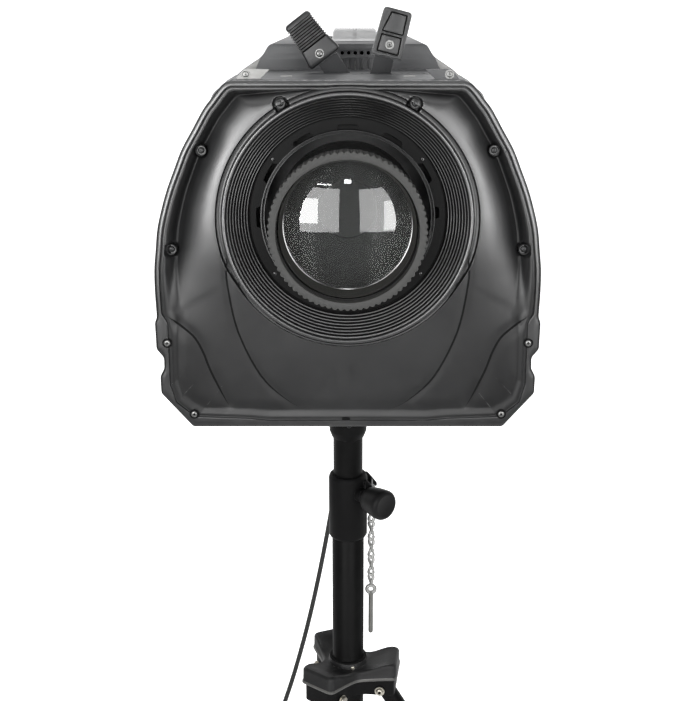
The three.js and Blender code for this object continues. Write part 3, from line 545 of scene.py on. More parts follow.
def add_plug():
    """A moulded plug with two blades and a round earth pin, lying beside the coil."""
    back = PLUG_BACK / MM
    sleeve = [(0, 0), (4.2, 0.4), (5.4, 2), (5.4, 4)]
    for i in range(4):
        start = 5 + i * 3.4
        sleeve += [(5.2 + i * 0.5, start), (6.0 + i * 0.6, start + 0.6),
                   (6.0 + i * 0.6, start + 2.0), (5.2 + i * 0.5, start + 2.6)]
    body = sleeve + [(9.4, 20), (12.4, 25), (13, 28), (13, 45.5), (12.2, 47.6), (10, 48), (0, 48)]

    def flattened(r, turn, i):
        return r * (1 - 0.1 * max(0, cos(2 * turn)) * min(1, i / 20))

    plug = lathe(body, axis="X", segments=40, ring=False, radius=flattened)
    for side in (1, -1):
        plug.add(block((17.5, 1.6, 6.4), (55.2, side * 5.5, 2.5), bevel=0.45, finish=1))
    plug.add(rod((46, 0, -6), (64, 0, -6), 2.4, chamfer=1.2, finish=1))
    plug.moved(*back)
    return make("mains_plug", plug, "stand", [RUBBER, STEEL], origin=ROW, replaces=["cord_plug"])


def add_tie():
    """The hook-and-loop strap round the coil's turns."""
    left = (COIL_CENTRE.x - (COIL_OUTSIDE - COIL_PITCH)) / MM
    outline = rounded([(left - 13, 0.7), (left + 13, 0.7), (left + 13, 16.4), (left - 13, 16.4)], 5)
    path = [(u, COIL_CENTRE.y / MM, v) for u, v in outline]
    strap = sweep(path, [(-0.5, -5), (0.5, -5), (0.5, 5), (-0.5, 5)], closed=True, up=(0, 1, 0))
    return make("cord_tie", strap, "stand", [RUBBER], origin=ROW)


cord, cord_length = add_cord()
add_plug()
add_tie()


# ------------------------------------------------------------------ floor
FLOOR_SIDE = 14000                                # all in millimetres
FLOOR_BACK = 4800                                 # where the floor starts to curve up
CURVE = 1400                                      # the curve's radius
WALL_TOP = 6800


def add_floor():
    """A pale floor that curves up into a backdrop."""
    profile = [(y, 0) for y in (-1500, -900, -300, 300, 900, 1500, FLOOR_BACK)]
    profile += [(FLOOR_BACK + CURVE * sin(radians(a)), CURVE - CURVE * cos(radians(a)))
                for a in range(10, 91, 10)]
    profile += [(FLOOR_BACK + CURVE, WALL_TOP)]
    points = [(x, y, z) for x in (-FLOOR_SIDE, FLOOR_SIDE) for y, z in profile]
    count = len(profile)
    faces = [(i, i + 1, count + i + 1, count + i) for i in range(count - 1)]
    g = Graph("studio_floor")
    tone = g.blend(g.noise(3), (0.88, 0.88, 0.88), (0.92, 0.92, 0.92))
    g.feed(g.shader.inputs["Base Color"], tone)
    g.shader.inputs["Roughness"].default_value = 0.9
    along = g.add("ShaderNodeSeparateXYZ", Vector=g.place).outputs["Y"]
    glow = g.span(along, -0.4, 1.6, 0.16, 0.85)
    g.feed(g.shader.inputs["Emission Color"], g.blend(glow, (0, 0, 0), (1, 1, 1)))
    g.shader.inputs["Emission Strength"].default_value = 1.0
    mesh = bpy.data.meshes.new("floor")
    mesh.from_pydata([Vector(p) * MM for p in points], [], faces)
    mesh.materials.append(g.material)
    for polygon in mesh.polygons:
        polygon.use_smooth = True
    floor = bpy.data.objects.new("floor", mesh)
    bpy.context.scene.collection.objects.link(floor)


add_floor()
add_studio()

# ------------------------------------------------------------------ front cover
RIM_Y = -200.0
COVER_BACK = -160.0
TOP_EDGE, BOTTOM_EDGE = 135.5, -214.5
# The right half of the outline: the round shoulder, then the stepped lower corner.
SHOULDER = [(112, 135.5), (118.5, 132.6), (125, 126), (132, 117), (139, 108), (150, 89), (161, 70),
            (169, 51), (177, 31), (183, 12), (188, -8), (190.5, -28), (192.8, -48), (193.3, -69),
            (192.6, -96)]
CORNER = [(192.6, -98), (194.8, -103), (194.4, -131), (187.2, -140), (187.4, -152), (191.8, -160),
          (191.6, -178), (160, -214.5), (0, -214.5)]
RING_OUTSIDE = 124.6
RING_INSIDE = 119.4


def even(points, spacing):
    """Points along a polyline, close to evenly spaced, with its corners kept."""
    line = []
    for a, b in zip(points, points[1:]):
        a, b = Vector(a), Vector(b)
        count = max(1, round((b - a).length / spacing))
        line += [a + (b - a) * (k / count) for k in range(count)]
    return line + [Vector(points[-1])]


def averaged(loop, reach):
    """Each point of a closed loop moved to the mean of its neighbours."""
    count = len(loop)
    return [sum((loop[(i + k) % count] for k in range(-reach, reach + 1)), Vector((0, 0)))
            / (2 * reach + 1) for i in range(count)]


def cover_outline():
    shoulder = [p.xy for p in smooth_path([(*p, 0) for p in SHOULDER], steps=6)]
    right = even([(0, TOP_EDGE), *shoulder, *CORNER], 1.9)
    left = [Vector((-p.x, p.y)) for p in reversed(right[1:-1])]
    return averaged(right + left, 1)


def nearest_on(point, line):
    """The closest place to a point on a line, its distance, and how far along it is from 0 to 1."""
    best = None
    for i, (a, b) in enumerate(zip(line, line[1:])):
        run = b - a
        t = max(0.0, min(1.0, (point - a).dot(run) / run.length_squared))
        place = a + run * t
        away = (place - point).length
        if best is None or away < best[1]:
            best = place, away, (i + t) / (len(line) - 1)
    return best


def ease(t):
    """A smooth step from 0 to 1."""
    t = max(0.0, min(1.0, t))
    return t * t * (3 - 2 * t)


def flat_line(stops):
    return [p.xy for p in smooth_path([(*s, 0) for s in stops], steps=5)]


INNER_CREASE = flat_line([(121, -38), (120.4, -64), (111, -113), (88.5, -160), (62, -186),
                          (40, -198)])
OUTER_CREASE = flat_line([(184, -95), (167.5, -108), (155.6, -119), (147.5, -134), (139.6, -156),
                          (125, -187), (118, -197)])
BLACK_SCREWS = [(175.6, -29.3), (142.9, 68.4), (65, 113.6)]
ZINC_SCREWS = [(182.9, -124.2), (158.2, -200.3)]
VALLEY = 11.0                                     # depth of the hollow beside the rim
ROWS_ACROSS = 58                                  # loops of points from the rim's lip to the moat
DEEPEST = 0.23                                    # its share of the way from the rim to the ring


def cover_depth(x, z, inward, outward):
    """How far the face lies behind its rim, given the distances to the rim and to the ring."""
    x = abs(x)
    room = inward + outward
    share = inward / room
    side = ease((z + 128) / 128) * ease((x - 40) / 60)
    shoulder = ease((z - 60) / 40)
    depth = VALLEY * side + 3.4 * (1 - side) * ease((z - 40) / 50)
    if share < DEEPEST:
        fall = ease(share / DEEPEST)
    else:
        fall = ((1 - share) / (1 - DEEPEST)) ** 1.7
    sink = depth * fall * (1 - 0.25 * shoulder)
    sink += 1.6 * (1 - side) * ease(inward / 9) * ease(-z / 60)
    _, away, along = nearest_on(Vector((x, z)), INNER_CREASE)
    if away < 12:
        sink += 0.5 * ease((1 - along) / 0.25) * exp(-(away / 4.5) ** 2)
    _, away, along = nearest_on(Vector((x, z)), OUTER_CREASE)
    if away < 18:
        sink += 0.9 * ease(along / 0.12) * ease((1 - along) / 0.2) * exp(-(away / 6.5) ** 2)
    for u, v in BLACK_SCREWS:
        away = hypot(x - u, z - v)
        sink += 4.2 * ease((7.4 - away) / 1.6)
    return sink


# The straight inner edge of the flange round the lower half of the cover.
FLANGE_LINE = [Vector(p) for p in ((183.4, -90), (181.9, -100), (182, -168.5), (176.4, -187.6),
                                   (163.5, -198.6),
                                   (153.5, -203.6), (103.4, -205.4), (82.8, -207.4), (0, -207.4))]
FLANGE_LINE_LEFT = [Vector((-p.x, p.y)) for p in FLANGE_LINE]
# For each distance in from the outline: share of the way to that edge, distance past it, depth.
FLANGE_STEPS = {4.0: (0.5, 0, 0.5), 4.9: (0.85, 0, 0.5), 5.4: (0.97, 0, 0.5), 5.8: (1, 0.1, 0.8),
                6.5: (1, 0.5, 1.9),
                6.9: (1, 0.9, 2.2), 7.5: (1, 1.6, 2.2), 8.6: (1, 3.0, 2.1)}


def front_cover():
    outline = cover_outline()
    count = len(outline)
    soft = averaged(averaged(outline, 3), 3)
    inwards = []
    for i in range(count):
        run = soft[(i + 1) % count] - soft[i - 1]
        inwards.append(Vector((run.y, -run.x)).normalized())
    rings = [p.normalized() for p in outline]
    # (distance in from the outline, distance behind the rim)
    edge = [(0, 40), (0, 3.6), (0.15, 2.2), (0.6, 1.3), (1.4, 0.9), (2.6, 0.55), (4.0, 0.2),
            (4.9, 0.25), (5.4, 0.8), (5.8, 1.9), (6.5, 2.2), (6.9, 1.9), (7.5, 1.7), (8.6, 2.0)]
    loops = []
    for inset, behind in edge:
        loop = []
        for p, inward in zip(outline, inwards):
            room = p.length - RING_OUTSIDE - 2
            scale = min(1.0, room / 10.5)
            flange = ease((-p.y - 92) / 12)
            behind_here = behind
            step = p + inward * inset * scale
            if flange and inset > 3.4:
                share, beyond, drop = FLANGE_STEPS[inset]
                held = p + inward * 3.4
                target = nearest_on(held, FLANGE_LINE if p.x > 0 else FLANGE_LINE_LEFT)[0]
                flat_step = held.lerp(target, share) + (target - held).normalized() * beyond
                step = step.lerp(flat_step, flange)
                behind_here = behind + (drop - behind) * flange
            loop.append(Vector((step.x, RIM_Y + behind_here, step.y)))
        loops.append(loop)
    lip = loops[-1]
    for row in range(1, ROWS_ACROSS + 1):
        t = row / ROWS_ACROSS
        t = 0.55 * t + 0.45 * ease(t)
        loop = []
        for start, ring, inward in zip(lip, rings, inwards):
            side = ease((start.z + 120) / 60)
            moat = 128.4 + 2.4 * side
            end = Vector((ring.x * moat, 0, ring.y * moat))
            flat = Vector((start.x, 0, start.z))
            here = flat.lerp(end, t)
            inward_mm = (here - flat).length
            outward_mm = (end - here).length
            base = start.y - RIM_Y
            base += (1.3 - base) * ease(inward_mm / 22)
            behind = base + cover_depth(here.x, here.z, inward_mm, outward_mm)
            loop.append(Vector((here.x, RIM_Y + behind, here.z)))
        loops.append(loop)
    panel = loops[-1]
    # (share of the way over the moat, distance behind the panel's edge at the sides)
    for share, drop in [(0.06, 0.5), (0.12, 1.8), (0.2, 4.6), (0.5, 5.6), (0.82, 5.2), (0.93, 2.4)]:
        loop = []
        for start, ring in zip(panel, rings):
            side = ease((start.z + 110) / 70)
            radius = Vector((start.x, start.z)).length
            r = radius + (RING_OUTSIDE - radius) * share ** (2.2 - 1.2 * side)
            depth = drop * (0.4 + 0.6 * side)
            loop.append(Vector((ring.x * r, max(start.y, RIM_Y + 0.2) + depth, ring.y * r)))
        loops.append(loop)
    for radius, behind in [(RING_OUTSIDE, 0.3), (124.2, -0.5), (123.2, -1.0), (121.6, -0.9),
                           (120.2, 0), (119.6, 1.4), (RING_INSIDE, 4)]:
        loops.append([Vector((ring.x * radius, RIM_Y + behind, ring.y * radius)) for ring in rings])
    shell = loft(loops, caps=False)
    inside = [[Vector((p.x + inward.x * 3, y, p.z + inward.y * 3))
               for p, inward in zip(loops[0], inwards)] for y in (COVER_BACK, RIM_Y + 14)]
    shell.add(loft([loops[0], *inside], caps=False))
    return shell


def screw_head(x, y, z, radius, finish, dome=0.5, recess="hex", washer=0.0, socket_finish=None):
    """A screw seen from the front: a domed head with a socket or a cross, on an optional washer."""
    def socket(r, turn, i):
        if i < 5:
            return r
        if recess == "hex":
            return hexagon(r, turn)
        arm = abs(cos(2 * turn)) ** 6
        return r * (0.45 + 0.95 * arm)

    hole = radius * 0.42
    depth = radius * 0.55
    profile = [(radius, 1.5), (radius, 0.2), (radius * 0.96, -0.2), (radius * 0.8, -dome * 0.75),
               (radius * 0.55, -dome), (hole, -dome), (hole * 0.92, depth), (0, depth)]
    head = lathe(profile, segments=36, ring=False, radius=socket, finish=finish)
    if socket_finish is not None:
        start = 6 * 36
        head.finishes[start:] = [socket_finish] * (len(head.finishes) - start)
    if washer:
        rim = [(radius * 0.9, 0.9), (radius * 0.9, 0.1), (washer - 0.2, 0.1), (washer, 0.3),
               (washer, 1.6)]
        head.add(lathe(rim, segments=36, ring=False, finish=finish))
    return head.moved(x, y, z)


def face_y(shell, x, z):
    """The cover's mean depth in a ring round a screw's place on its face."""
    near = [p.y for p in shell.points
            if p.y < RIM_Y + 20 and abs(hypot(p.x - x, p.z - z) - 8.6) < 1.2]
    return sum(near) / len(near)


def crease_shade_strip(shell, line, widths, side):
    """A crease in the cover's face drawn as painted shade: a narrow dark ribbon that lies on the
    surface.
    """
    line = even(line, 2.2)
    faces = [p for p in shell.points if p.y < RIM_Y + 16 and p.x * side > 0]
    tree = KDTree(len(faces))
    for i, p in enumerate(faces):
        tree.insert((p.x, p.z, 0), i)
    tree.balance()
    loops = []
    last = len(line) - 1
    for i, here in enumerate(line):
        run = (line[min(i + 1, last)] - line[max(i - 1, 0)]).normalized()
        across = Vector((run.y, -run.x))
        t = i / last
        half = 0.5 * widths(t)
        near = tree.find_n((here.x * side, here.y, 0), 4)
        y = sum(faces[k].y / (d + 0.1) for _, k, d in near) / sum(1 / (d + 0.1) for _, _, d in near)
        a, b = here + across * half, here - across * half
        loops.append([Vector((side * a.x, y - 0.12, a.y)), Vector((side * b.x, y - 0.12, b.y)),
                      Vector((side * b.x, y + 0.6, b.y)), Vector((side * a.x, y + 0.6, a.y))])
    return loft(loops)


def add_front_cover():
    shell = front_cover()
    make("front_cover_shell", shell, "head", [COVER_BLACK_PAINTED_LIGHT], crease=50,
         replaces=["front_cover"])
    # The creases' painted shade: dark ribbons laid along the cover's face.
    crease_shade = Shape()
    for side in (1, -1):
        crease_shade.add(crease_shade_strip(shell, INNER_CREASE, lambda t: 1.9 * ease((1 - t) / 0.35), side))
        crease_shade.add(crease_shade_strip(shell, OUTER_CREASE,
                               lambda t: 2.2 * ease(t / 0.15) * ease((1 - t) / 0.3), side))
    make("front_cover_crease_shade", crease_shade, "head", [DARK_HOLE])
    black = Shape()
    zinc = Shape()
    for side in (1, -1):
        for x, z in BLACK_SCREWS:
            cup = [(5.4, 2.6), (5.4, 0.2), (5.1, -0.2), (4.6, 0.2), (4.4, 3.4), (0, 3.4)]
            y = face_y(shell, side * x, z) + 1.4
            black.add(lathe(cup, segments=36, ring=False).moved(side * x, y, z))
            black.add(screw_head(side * x, y + 2.2, z, 3.1, 1, dome=1.0, recess="cross"))
        for x, z in ZINC_SCREWS:
            zinc.add(screw_head(side * x, RIM_Y + 0.6, z, 3.4, 0, dome=1.3, socket_finish=1))
            well = [(5.0, 1.2), (5.0, 0.35), (4.7, 0.15), (3.5, 0.15), (3.5, 1.6)]
            zinc.add(lathe(well, segments=32, ring=False, finish=1).moved(side * x, RIM_Y + 0.1, z))
    make("front_cover_black_screws", black, "head", [MOULDED, DARK_STEEL])
    make("front_cover_zinc_screws", zinc, "head", [STEEL, DARK_HOLE])
    # The drain notch drawn as a dark plate on the face: painted shade where the recess is.
    notch = plate(rounded([(-4, -206.9), (4, -206.9), (4, -204.2), (-4, -204.2)], 1.2), RIM_Y - 0.2,
                  RIM_Y + 2, bevel=0.15)
    make("front_cover_drain", notch.moved(-1.9, 0, 0), "head", [DARK_HOLE])


# ------------------------------------------------------------------ opening, lens and focus ring
def add_opening():
    steps = 8
    outer, inner = 119.2, 98.6
    front, back = RIM_Y + 1.5, RIM_Y + 23.5
    profile = []
    for i in range(steps):
        r = outer + (inner - outer) * i / steps
        nxt = outer + (inner - outer) * (i + 1) / steps
        y = front + (back - front) * i / steps
        fall = (back - front) / steps
        profile += [(r, y + 0.5), (r - 0.25, y + 0.1), (r - 0.75, y), (r - 1.1, y + 0.21),
                    (r - 1.2, y + fall * 0.95), (nxt + 0.5, y + fall * 1.15), (nxt, y + fall * 1.1)]
    profile += [(inner, back + 1), (121.5, back + 1), (121.5, front + 1)]
    baffle = lathe(profile, segments=168)
    # The crests, rows 1 and 2 of each step, keep finish 0, the painted highlight; the other rows
    # take the deep black.
    for step in range(steps):
        for row in (0, 3, 4, 5, 6):
            start = (step * 7 + row) * 168
            baffle.finishes[start:start + 168] = [1] * 168
    make("stepped_baffle", baffle, "head", [CREST_PAINTED_HIGHLIGHT, BAFFLE_DEEP], crease=28,
         replaces=["ribbed_baffle"])

    tab = radians(6.2)

    def notched(r, turn, i):
        if i not in NOTCHED_ROWS:
            return r
        across = (turn + radians(15)) % radians(30) - radians(15)
        upper = -0.2 < turn < pi + 0.2
        return r + (4.6 if abs(across) < tab and upper else 0)

    NOTCHED_ROWS = (3, 4, 5)
    y = RIM_Y + 26
    disc = [(122, y + 3), (122, y), (93.5, y), (87.4, y), (87.0, y + 0.5), (87.0, y + 3)]
    make("bulkhead_disc", lathe(disc, segments=240, radius=notched), "head", [BULKHEAD_BLACK],
         crease=30,
         replaces=["bulkhead_ring"])
    lip = [(87.4, y + 5), (87.4, y - 5.6), (87.0, y - 6.4), (86.3, y - 6.4), (85.9, y - 5.6),
           (85.9, y - 2.2),
           (84.6, y - 2.0), (84.2, y - 2.7), (83.6, y - 2.7), (83.3, y - 2.0), (83.3, y + 5)]
    trim = lathe(lip, segments=160)
    for angle in (38, 142, 218, 322):
        u, v = polar(94, angle)
        trim.add(screw_head(u, y - 0.2, v, 2.0, 0, dome=0.8, recess="cross"))
    make("bulkhead_lip", trim, "head", [RING_GLOSS], crease=40)


def add_lens_group():
    barrel = [(72.0, -134), (72.0, -243), (71.5, -245.4), (70.8, -246), (67.4, -246),
              (66.9, -245.4),
              (66.7, -243), (66.7, -134)]
    for groove in (-214, -150):
        barrel[1:1] = [(72, groove + 1), (71.3, groove + 0.6), (71.3, groove - 0.6),
                       (72, groove - 1)]
    barrel[1:9] = sorted(barrel[1:9], key=lambda p: -p[1])
    make("lens_barrel_tube", lathe(barrel, segments=160), "head", [TUBE_BLACK], crease=30,
         replaces=["lens_barrel"])

    teeth = 76
    count = teeth * 8

    def toothed(r, turn, i):
        if not 3 <= i <= 8:
            return r
        wave = (turn * teeth / (2 * pi)) % 1.0
        bite = 0.5 - 0.5 * cos(2 * pi * wave)
        return r - 1.7 * bite ** 1.6

    front = -259
    ring = [(67.5, front + 1.2), (67.9, front + 0.3), (68.6, front), (74.6, front),
            (75.3, front + 0.25),
            (75.5, front + 1.0), (75.5, front + 22), (75.2, front + 24), (74.7, front + 25.2),
            (73.8, front + 26), (73.8, front + 34.5), (73.4, front + 35.6), (72.5, front + 36),
            (72.4, front + 12.7), (67.5, front + 12.4)]
    make("focus_ring_knurled", lathe(ring, segments=count, radius=toothed), "focus_ring",
         [RING_BLACK], crease=30, replaces=["focus_ring"])

    cell = [(66.2, -196), (66.2, -243.6), (65.8, -244), (65.4, -243.6)]
    for i in range(7):
        y = -240 + i * 2.6
        r = 65.2 - i * 0.36
        cell += [(r, y), (r - 0.35, y + 0.5), (r - 0.1, y + 1.7)]
    cell += [(62.9, -221.6), (64.8, -221.4), (64.8, -196)]
    threaded = lathe(cell, segments=160)
    threaded.add(lathe([(63.6, -222.0), (62.9, -222.9), (62.0, -222.6), (61.9, -221.9)],
                       segments=160, finish=1))
    make("lens_cell_threaded", threaded, "lens_cell", [CONE_BLACK, RING_GLOSS], crease=24,
         replaces=["lens_cell"])
    make("front_lens_glass", lens_shape(64.4, -221.2, 10, 12), "lens_cell",
         [LENS_GLASS, COATED_GLASS], crease=30,
         replaces=["front_lens"])
    make("rear_lens_glass", lens_shape(66.1, -168, 10, 11).painted(1), "head",
         [LENS_GLASS, COATED_GLASS], crease=30,
         replaces=["rear_lens"])


def lens_shape(radius, edge, thickness, bulge):
    """A plano-convex lens that bulges towards the front."""
    clear = radius - 1.6
    sphere = (clear ** 2 + bulge ** 2) / (2 * bulge)
    steps = 26
    profile = [(0, edge - bulge)]
    for i in range(1, steps + 1):
        r = clear * i / steps
        profile.append((r, edge - bulge + sphere - sqrt(sphere ** 2 - r ** 2)))
    profile += [(radius - 0.3, edge + 0.1), (radius, edge + 0.5), (radius, edge + thickness - 0.5),
                (radius - 0.5, edge + thickness), (0, edge + thickness)]
    lens = lathe(profile, segments=128, ring=False)
    lens.finishes[(steps + 1) * 128:] = [1] * (len(lens.finishes) - (steps + 1) * 128)
    return lens


BAFFLE_DEEP = finish("stepped_baffle_black", 0.003, 0.5, specular=0.1, grain=0.08)
BULKHEAD_BLACK = finish("bulkhead_black", 0.003, 0.34, specular=0.08, grain=0.06)
RING_GLOSS = finish("bright_black_trim", 0.03, 0.16, specular=1.0, metal=0.35, grain=0.0,
                    spread=0.04)


def cover_black_painted_light():
    """Moulded black with painted light: its reflection is turned down in the valley beside the rim
    and low on the cover (painted shade), and turned up along the rim's front edge (painted
    highlight).
    """
    g = Graph("front_cover_black_painted_light")
    uneven = g.math("ADD", g.math("MULTIPLY", g.noise(9), 0.65),
                    g.math("MULTIPLY", g.noise(80), 0.35))
    share = g.span(uneven, 0.3, 0.7)
    shade = g.blend(share, (0.0052, 0.0052, 0.0054), (0.0076, 0.0076, 0.0078))
    parts = g.add("ShaderNodeSeparateXYZ", Vector=g.place)
    face = (HEAD.y + RIM_Y) * MM
    # Painted shade: reflection turned down in the valley beside the rim.
    valley_painted_shade = g.span(parts.outputs["Y"], face + 0.0056, face + 0.0096)
    # Painted shade: reflection turned down low on the cover, most towards its sides.
    low = g.span(parts.outputs["Z"], (HEAD.z + 8) * MM, (HEAD.z - 78) * MM)
    out = g.span(g.math("ABSOLUTE", g.math("SUBTRACT", parts.outputs["X"], HEAD.x * MM)), 0.05,
                 0.16)
    # Painted highlight: reflection turned up along the rim's front edge.
    rim = g.span(parts.outputs["Y"], face + 0.0011, face + 0.0002)
    level = g.math("MULTIPLY", g.span(valley_painted_shade, 0, 1, 0.76, 0.15), g.span(low, 0, 1, 1.0, 0.56))
    level = g.math("MULTIPLY", level, g.span(g.math("MULTIPLY", low, out), 0, 1, 1.0, 0.55))
    level = g.math("ADD", level, g.math("MULTIPLY", rim, 0.35))
    edge = g.math("MULTIPLY", g.worn_edges(0.0008), g.span(g.noise(160), 0.42, 0.62))
    g.feed(g.shader.inputs["Base Color"], g.blend(edge, shade, (0.05, 0.05, 0.05)))
    g.feed(g.shader.inputs["Roughness"], g.span(uneven, 0.3, 0.7, 0.29, 0.38))
    g.feed(g.shader.inputs["Specular IOR Level"], level)
    bump = g.add("ShaderNodeBump", Strength=0.08, Distance=0.0004, Height=g.noise(1800, detail=2))
    g.feed(g.shader.inputs["Normal"], bump.outputs[0])
    return g.material


def crest_painted_highlight():
    """The stepped baffle's crests, with a painted highlight: paler and more reflective towards the
    bottom.
    """
    g = Graph("stepped_baffle_crest_painted_highlight")
    uneven = g.noise(60)
    height = g.add("ShaderNodeSeparateXYZ", Vector=g.place).outputs["Z"]
    low = g.span(height, (HEAD.z + 10) * MM, (HEAD.z - 90) * MM)
    black = g.blend(uneven, (0.006, 0.006, 0.006), (0.009, 0.009, 0.009))
    # Painted highlight: the crests' black turns pale grey towards the bottom.
    g.feed(g.shader.inputs["Base Color"], g.blend(low, black, (0.13, 0.13, 0.13)))
    g.feed(g.shader.inputs["Roughness"], g.span(uneven, 0.3, 0.7, 0.17, 0.24))
    g.feed(g.shader.inputs["Specular IOR Level"], g.span(low, 0, 1, 0.2, 1.0))
    return g.material


COVER_BLACK_PAINTED_LIGHT = cover_black_painted_light()
CREST_PAINTED_HIGHLIGHT = crest_painted_highlight()
add_front_cover()
add_opening()
add_lens_group()

# ------------------------------------------------------------------ covers over the head
HOUSING_START, HOUSING_END = -159.7, 338.0
TOP_COVER_START = -49.7
SHEET = 3
TILT_Z = -40                                      # height of the tilt axis
HANDLE_X, HANDLE_Y = 8, 140                       # middle of the carry handle and its well


def lean(shape, angle, pivot, y):
    """Leans an upright lever about its pivot, which is (x, z), and sets it at a depth."""
    return shape.turned("Y", angle).moved(pivot[0], y, pivot[1])


def strip(path, thickness, start, end):
    """A sheet bent along a path in X and Z, as long as start to end in Y, with soft ends."""
    line = [Vector(p) for p in path]
    inner = []
    for i, here in enumerate(line):
        before, after = line[max(i - 1, 0)], line[min(i + 1, len(line) - 1)]
        run = (after - before).normalized()
        inner.append(here + Vector((run.y, -run.x)) * thickness)
    section = line + inner[::-1]
    centre = sum(section, Vector((0, 0))) / len(section)
    loops = []
    for y, inset in ((start, 0.5), (start + 0.5, 0), (end - 0.5, 0), (end, 0.5)):
        loops.append([(p.x * (1 - inset / 165), y, centre.y + (p.y - centre.y) * (1 - inset / 165))
                      for p in section])
    return loft(loops)


def arch(right):
    """A line over the head from left to right, from its right half given from low to high."""
    corners = [(-p[0], p[1], *p[2:]) for p in right] + [tuple(p) for p in reversed(right)]
    soft = rounded(corners, 4, steps=3)
    return soft[2:-2]


def pan_screws(places, axis, radius=3.6, finish=0):
    """Domed screws with washers; a place is a point and the way it faces is the axis' sign."""
    heads = Shape()
    for x, y, z in places:
        head = screw_head(0, 0, 0, radius, finish, dome=1.2, recess="cross", washer=radius * 1.35)
        head.turned(*axis).moved(x, y, z)
        heads.add(head)
    return heads


TO_REAR = ("Z", 180)
TO_RIGHT = ("Z", 90)
UPWARD = ("X", -90)


def add_front_top():
    side = [(165, 20.3), (156, 70), (133, 121), (116, 135), (109, 138.1)]
    cover = Shape()
    for mirror in (1, -1):
        line = rounded([*side, (109, 130)], 3.5, steps=3)
        line = [p for p in line if p[1] > 19][:-4]
        path = [(mirror * p[0], p[1]) for p in line]
        cover.add(strip(path[::-1] if mirror > 0 else path, SHEET, HOUSING_START, -50))
    slots = [rounded([(-32, -113.8), (15.6, -113.8), (15.6, -105.8), (-32, -105.8)], 2),
             rounded([(13.4, -123.5), (79, -123.5), (79, -114.5), (13.4, -114.5)], 2)]
    lid = plate(rounded([(-109.4, -159.5), (109.4, -159.5), (109.4, -50), (-109.4, -50)], 1), 135,
                138,
                holes=slots, bevel=0.5, axis="Z")
    cover.add(lid)
    apron = []
    for y, z in ((-198.4, 135.7), (-197.8, 136.3), (-160, 138.15), (-157, 138.25)):
        over = [(-127, z - 13), (-119, z - 5), (-110.4, z), (110.4, z), (119, z - 5), (127, z - 13)]
        apron.append([(u, y, v) for u, v in over + [(u * 0.99, v - 0.9) for u,
                v in reversed(over)]])
    cover.add(loft(apron))
    for mirror in (1, -1):
        ear = [(-108.4, 134.6), (-99.4, 146.2), (-74.4, 145.4), (-84.6, 135.4)]
        face = plate(rounded([(mirror * -x, z) for x, z in ear], 1.5), -193.5, -190.5, bevel=0.6,
                     finish=1 if mirror < 0 else 0)
        cover.add(face)
        cover.add(screw_head(mirror * 97.4, -194.3, 141.0, 3.2, 2, dome=1.2, recess="cross",
                             washer=4.4, socket_finish=3))
        cover.add(block((11, 2.4, 1.2), (mirror * 60, -170, 137.9), bevel=0.3, finish=1))
        cover.add(strip([(mirror * 165.4, 26), (mirror * 165.9, 23.5)], 0.6, HOUSING_START + 1,
                        -51))
    make("front_top_panel", cover, "head", [COVER_PAINT, PALE_PAINT_AND_PAINTED_LIGHT, STEEL, DARK_HOLE], crease=32,
         replaces=["front_top_cover"])
    for name, (low, high, front, back) in {"shutter_slot_brush": (-31, 14.8, -113.6, -106.2),
                                           "iris_slot_brush": (14, 78, -123, -115)}.items():
        brush = Shape()
        for edge, way in ((front, 1), (back, -1)):
            teeth = [(low, edge - way * 2)]
            count = round((high - low) / 1.6)
            for i in range(count + 1):
                x = low + (high - low) * i / count
                teeth += [(x - 0.25, edge + way * (0.6 if i % 2 else 0.2)),
                          (x + 0.25, edge + way * 1.3)]
            teeth.append((high, edge - way * 2))
            brush.add(plate(teeth, 133.4, 134.8, bevel=0.05, axis="Z"))
        make(name, brush, "head", [RUBBER])


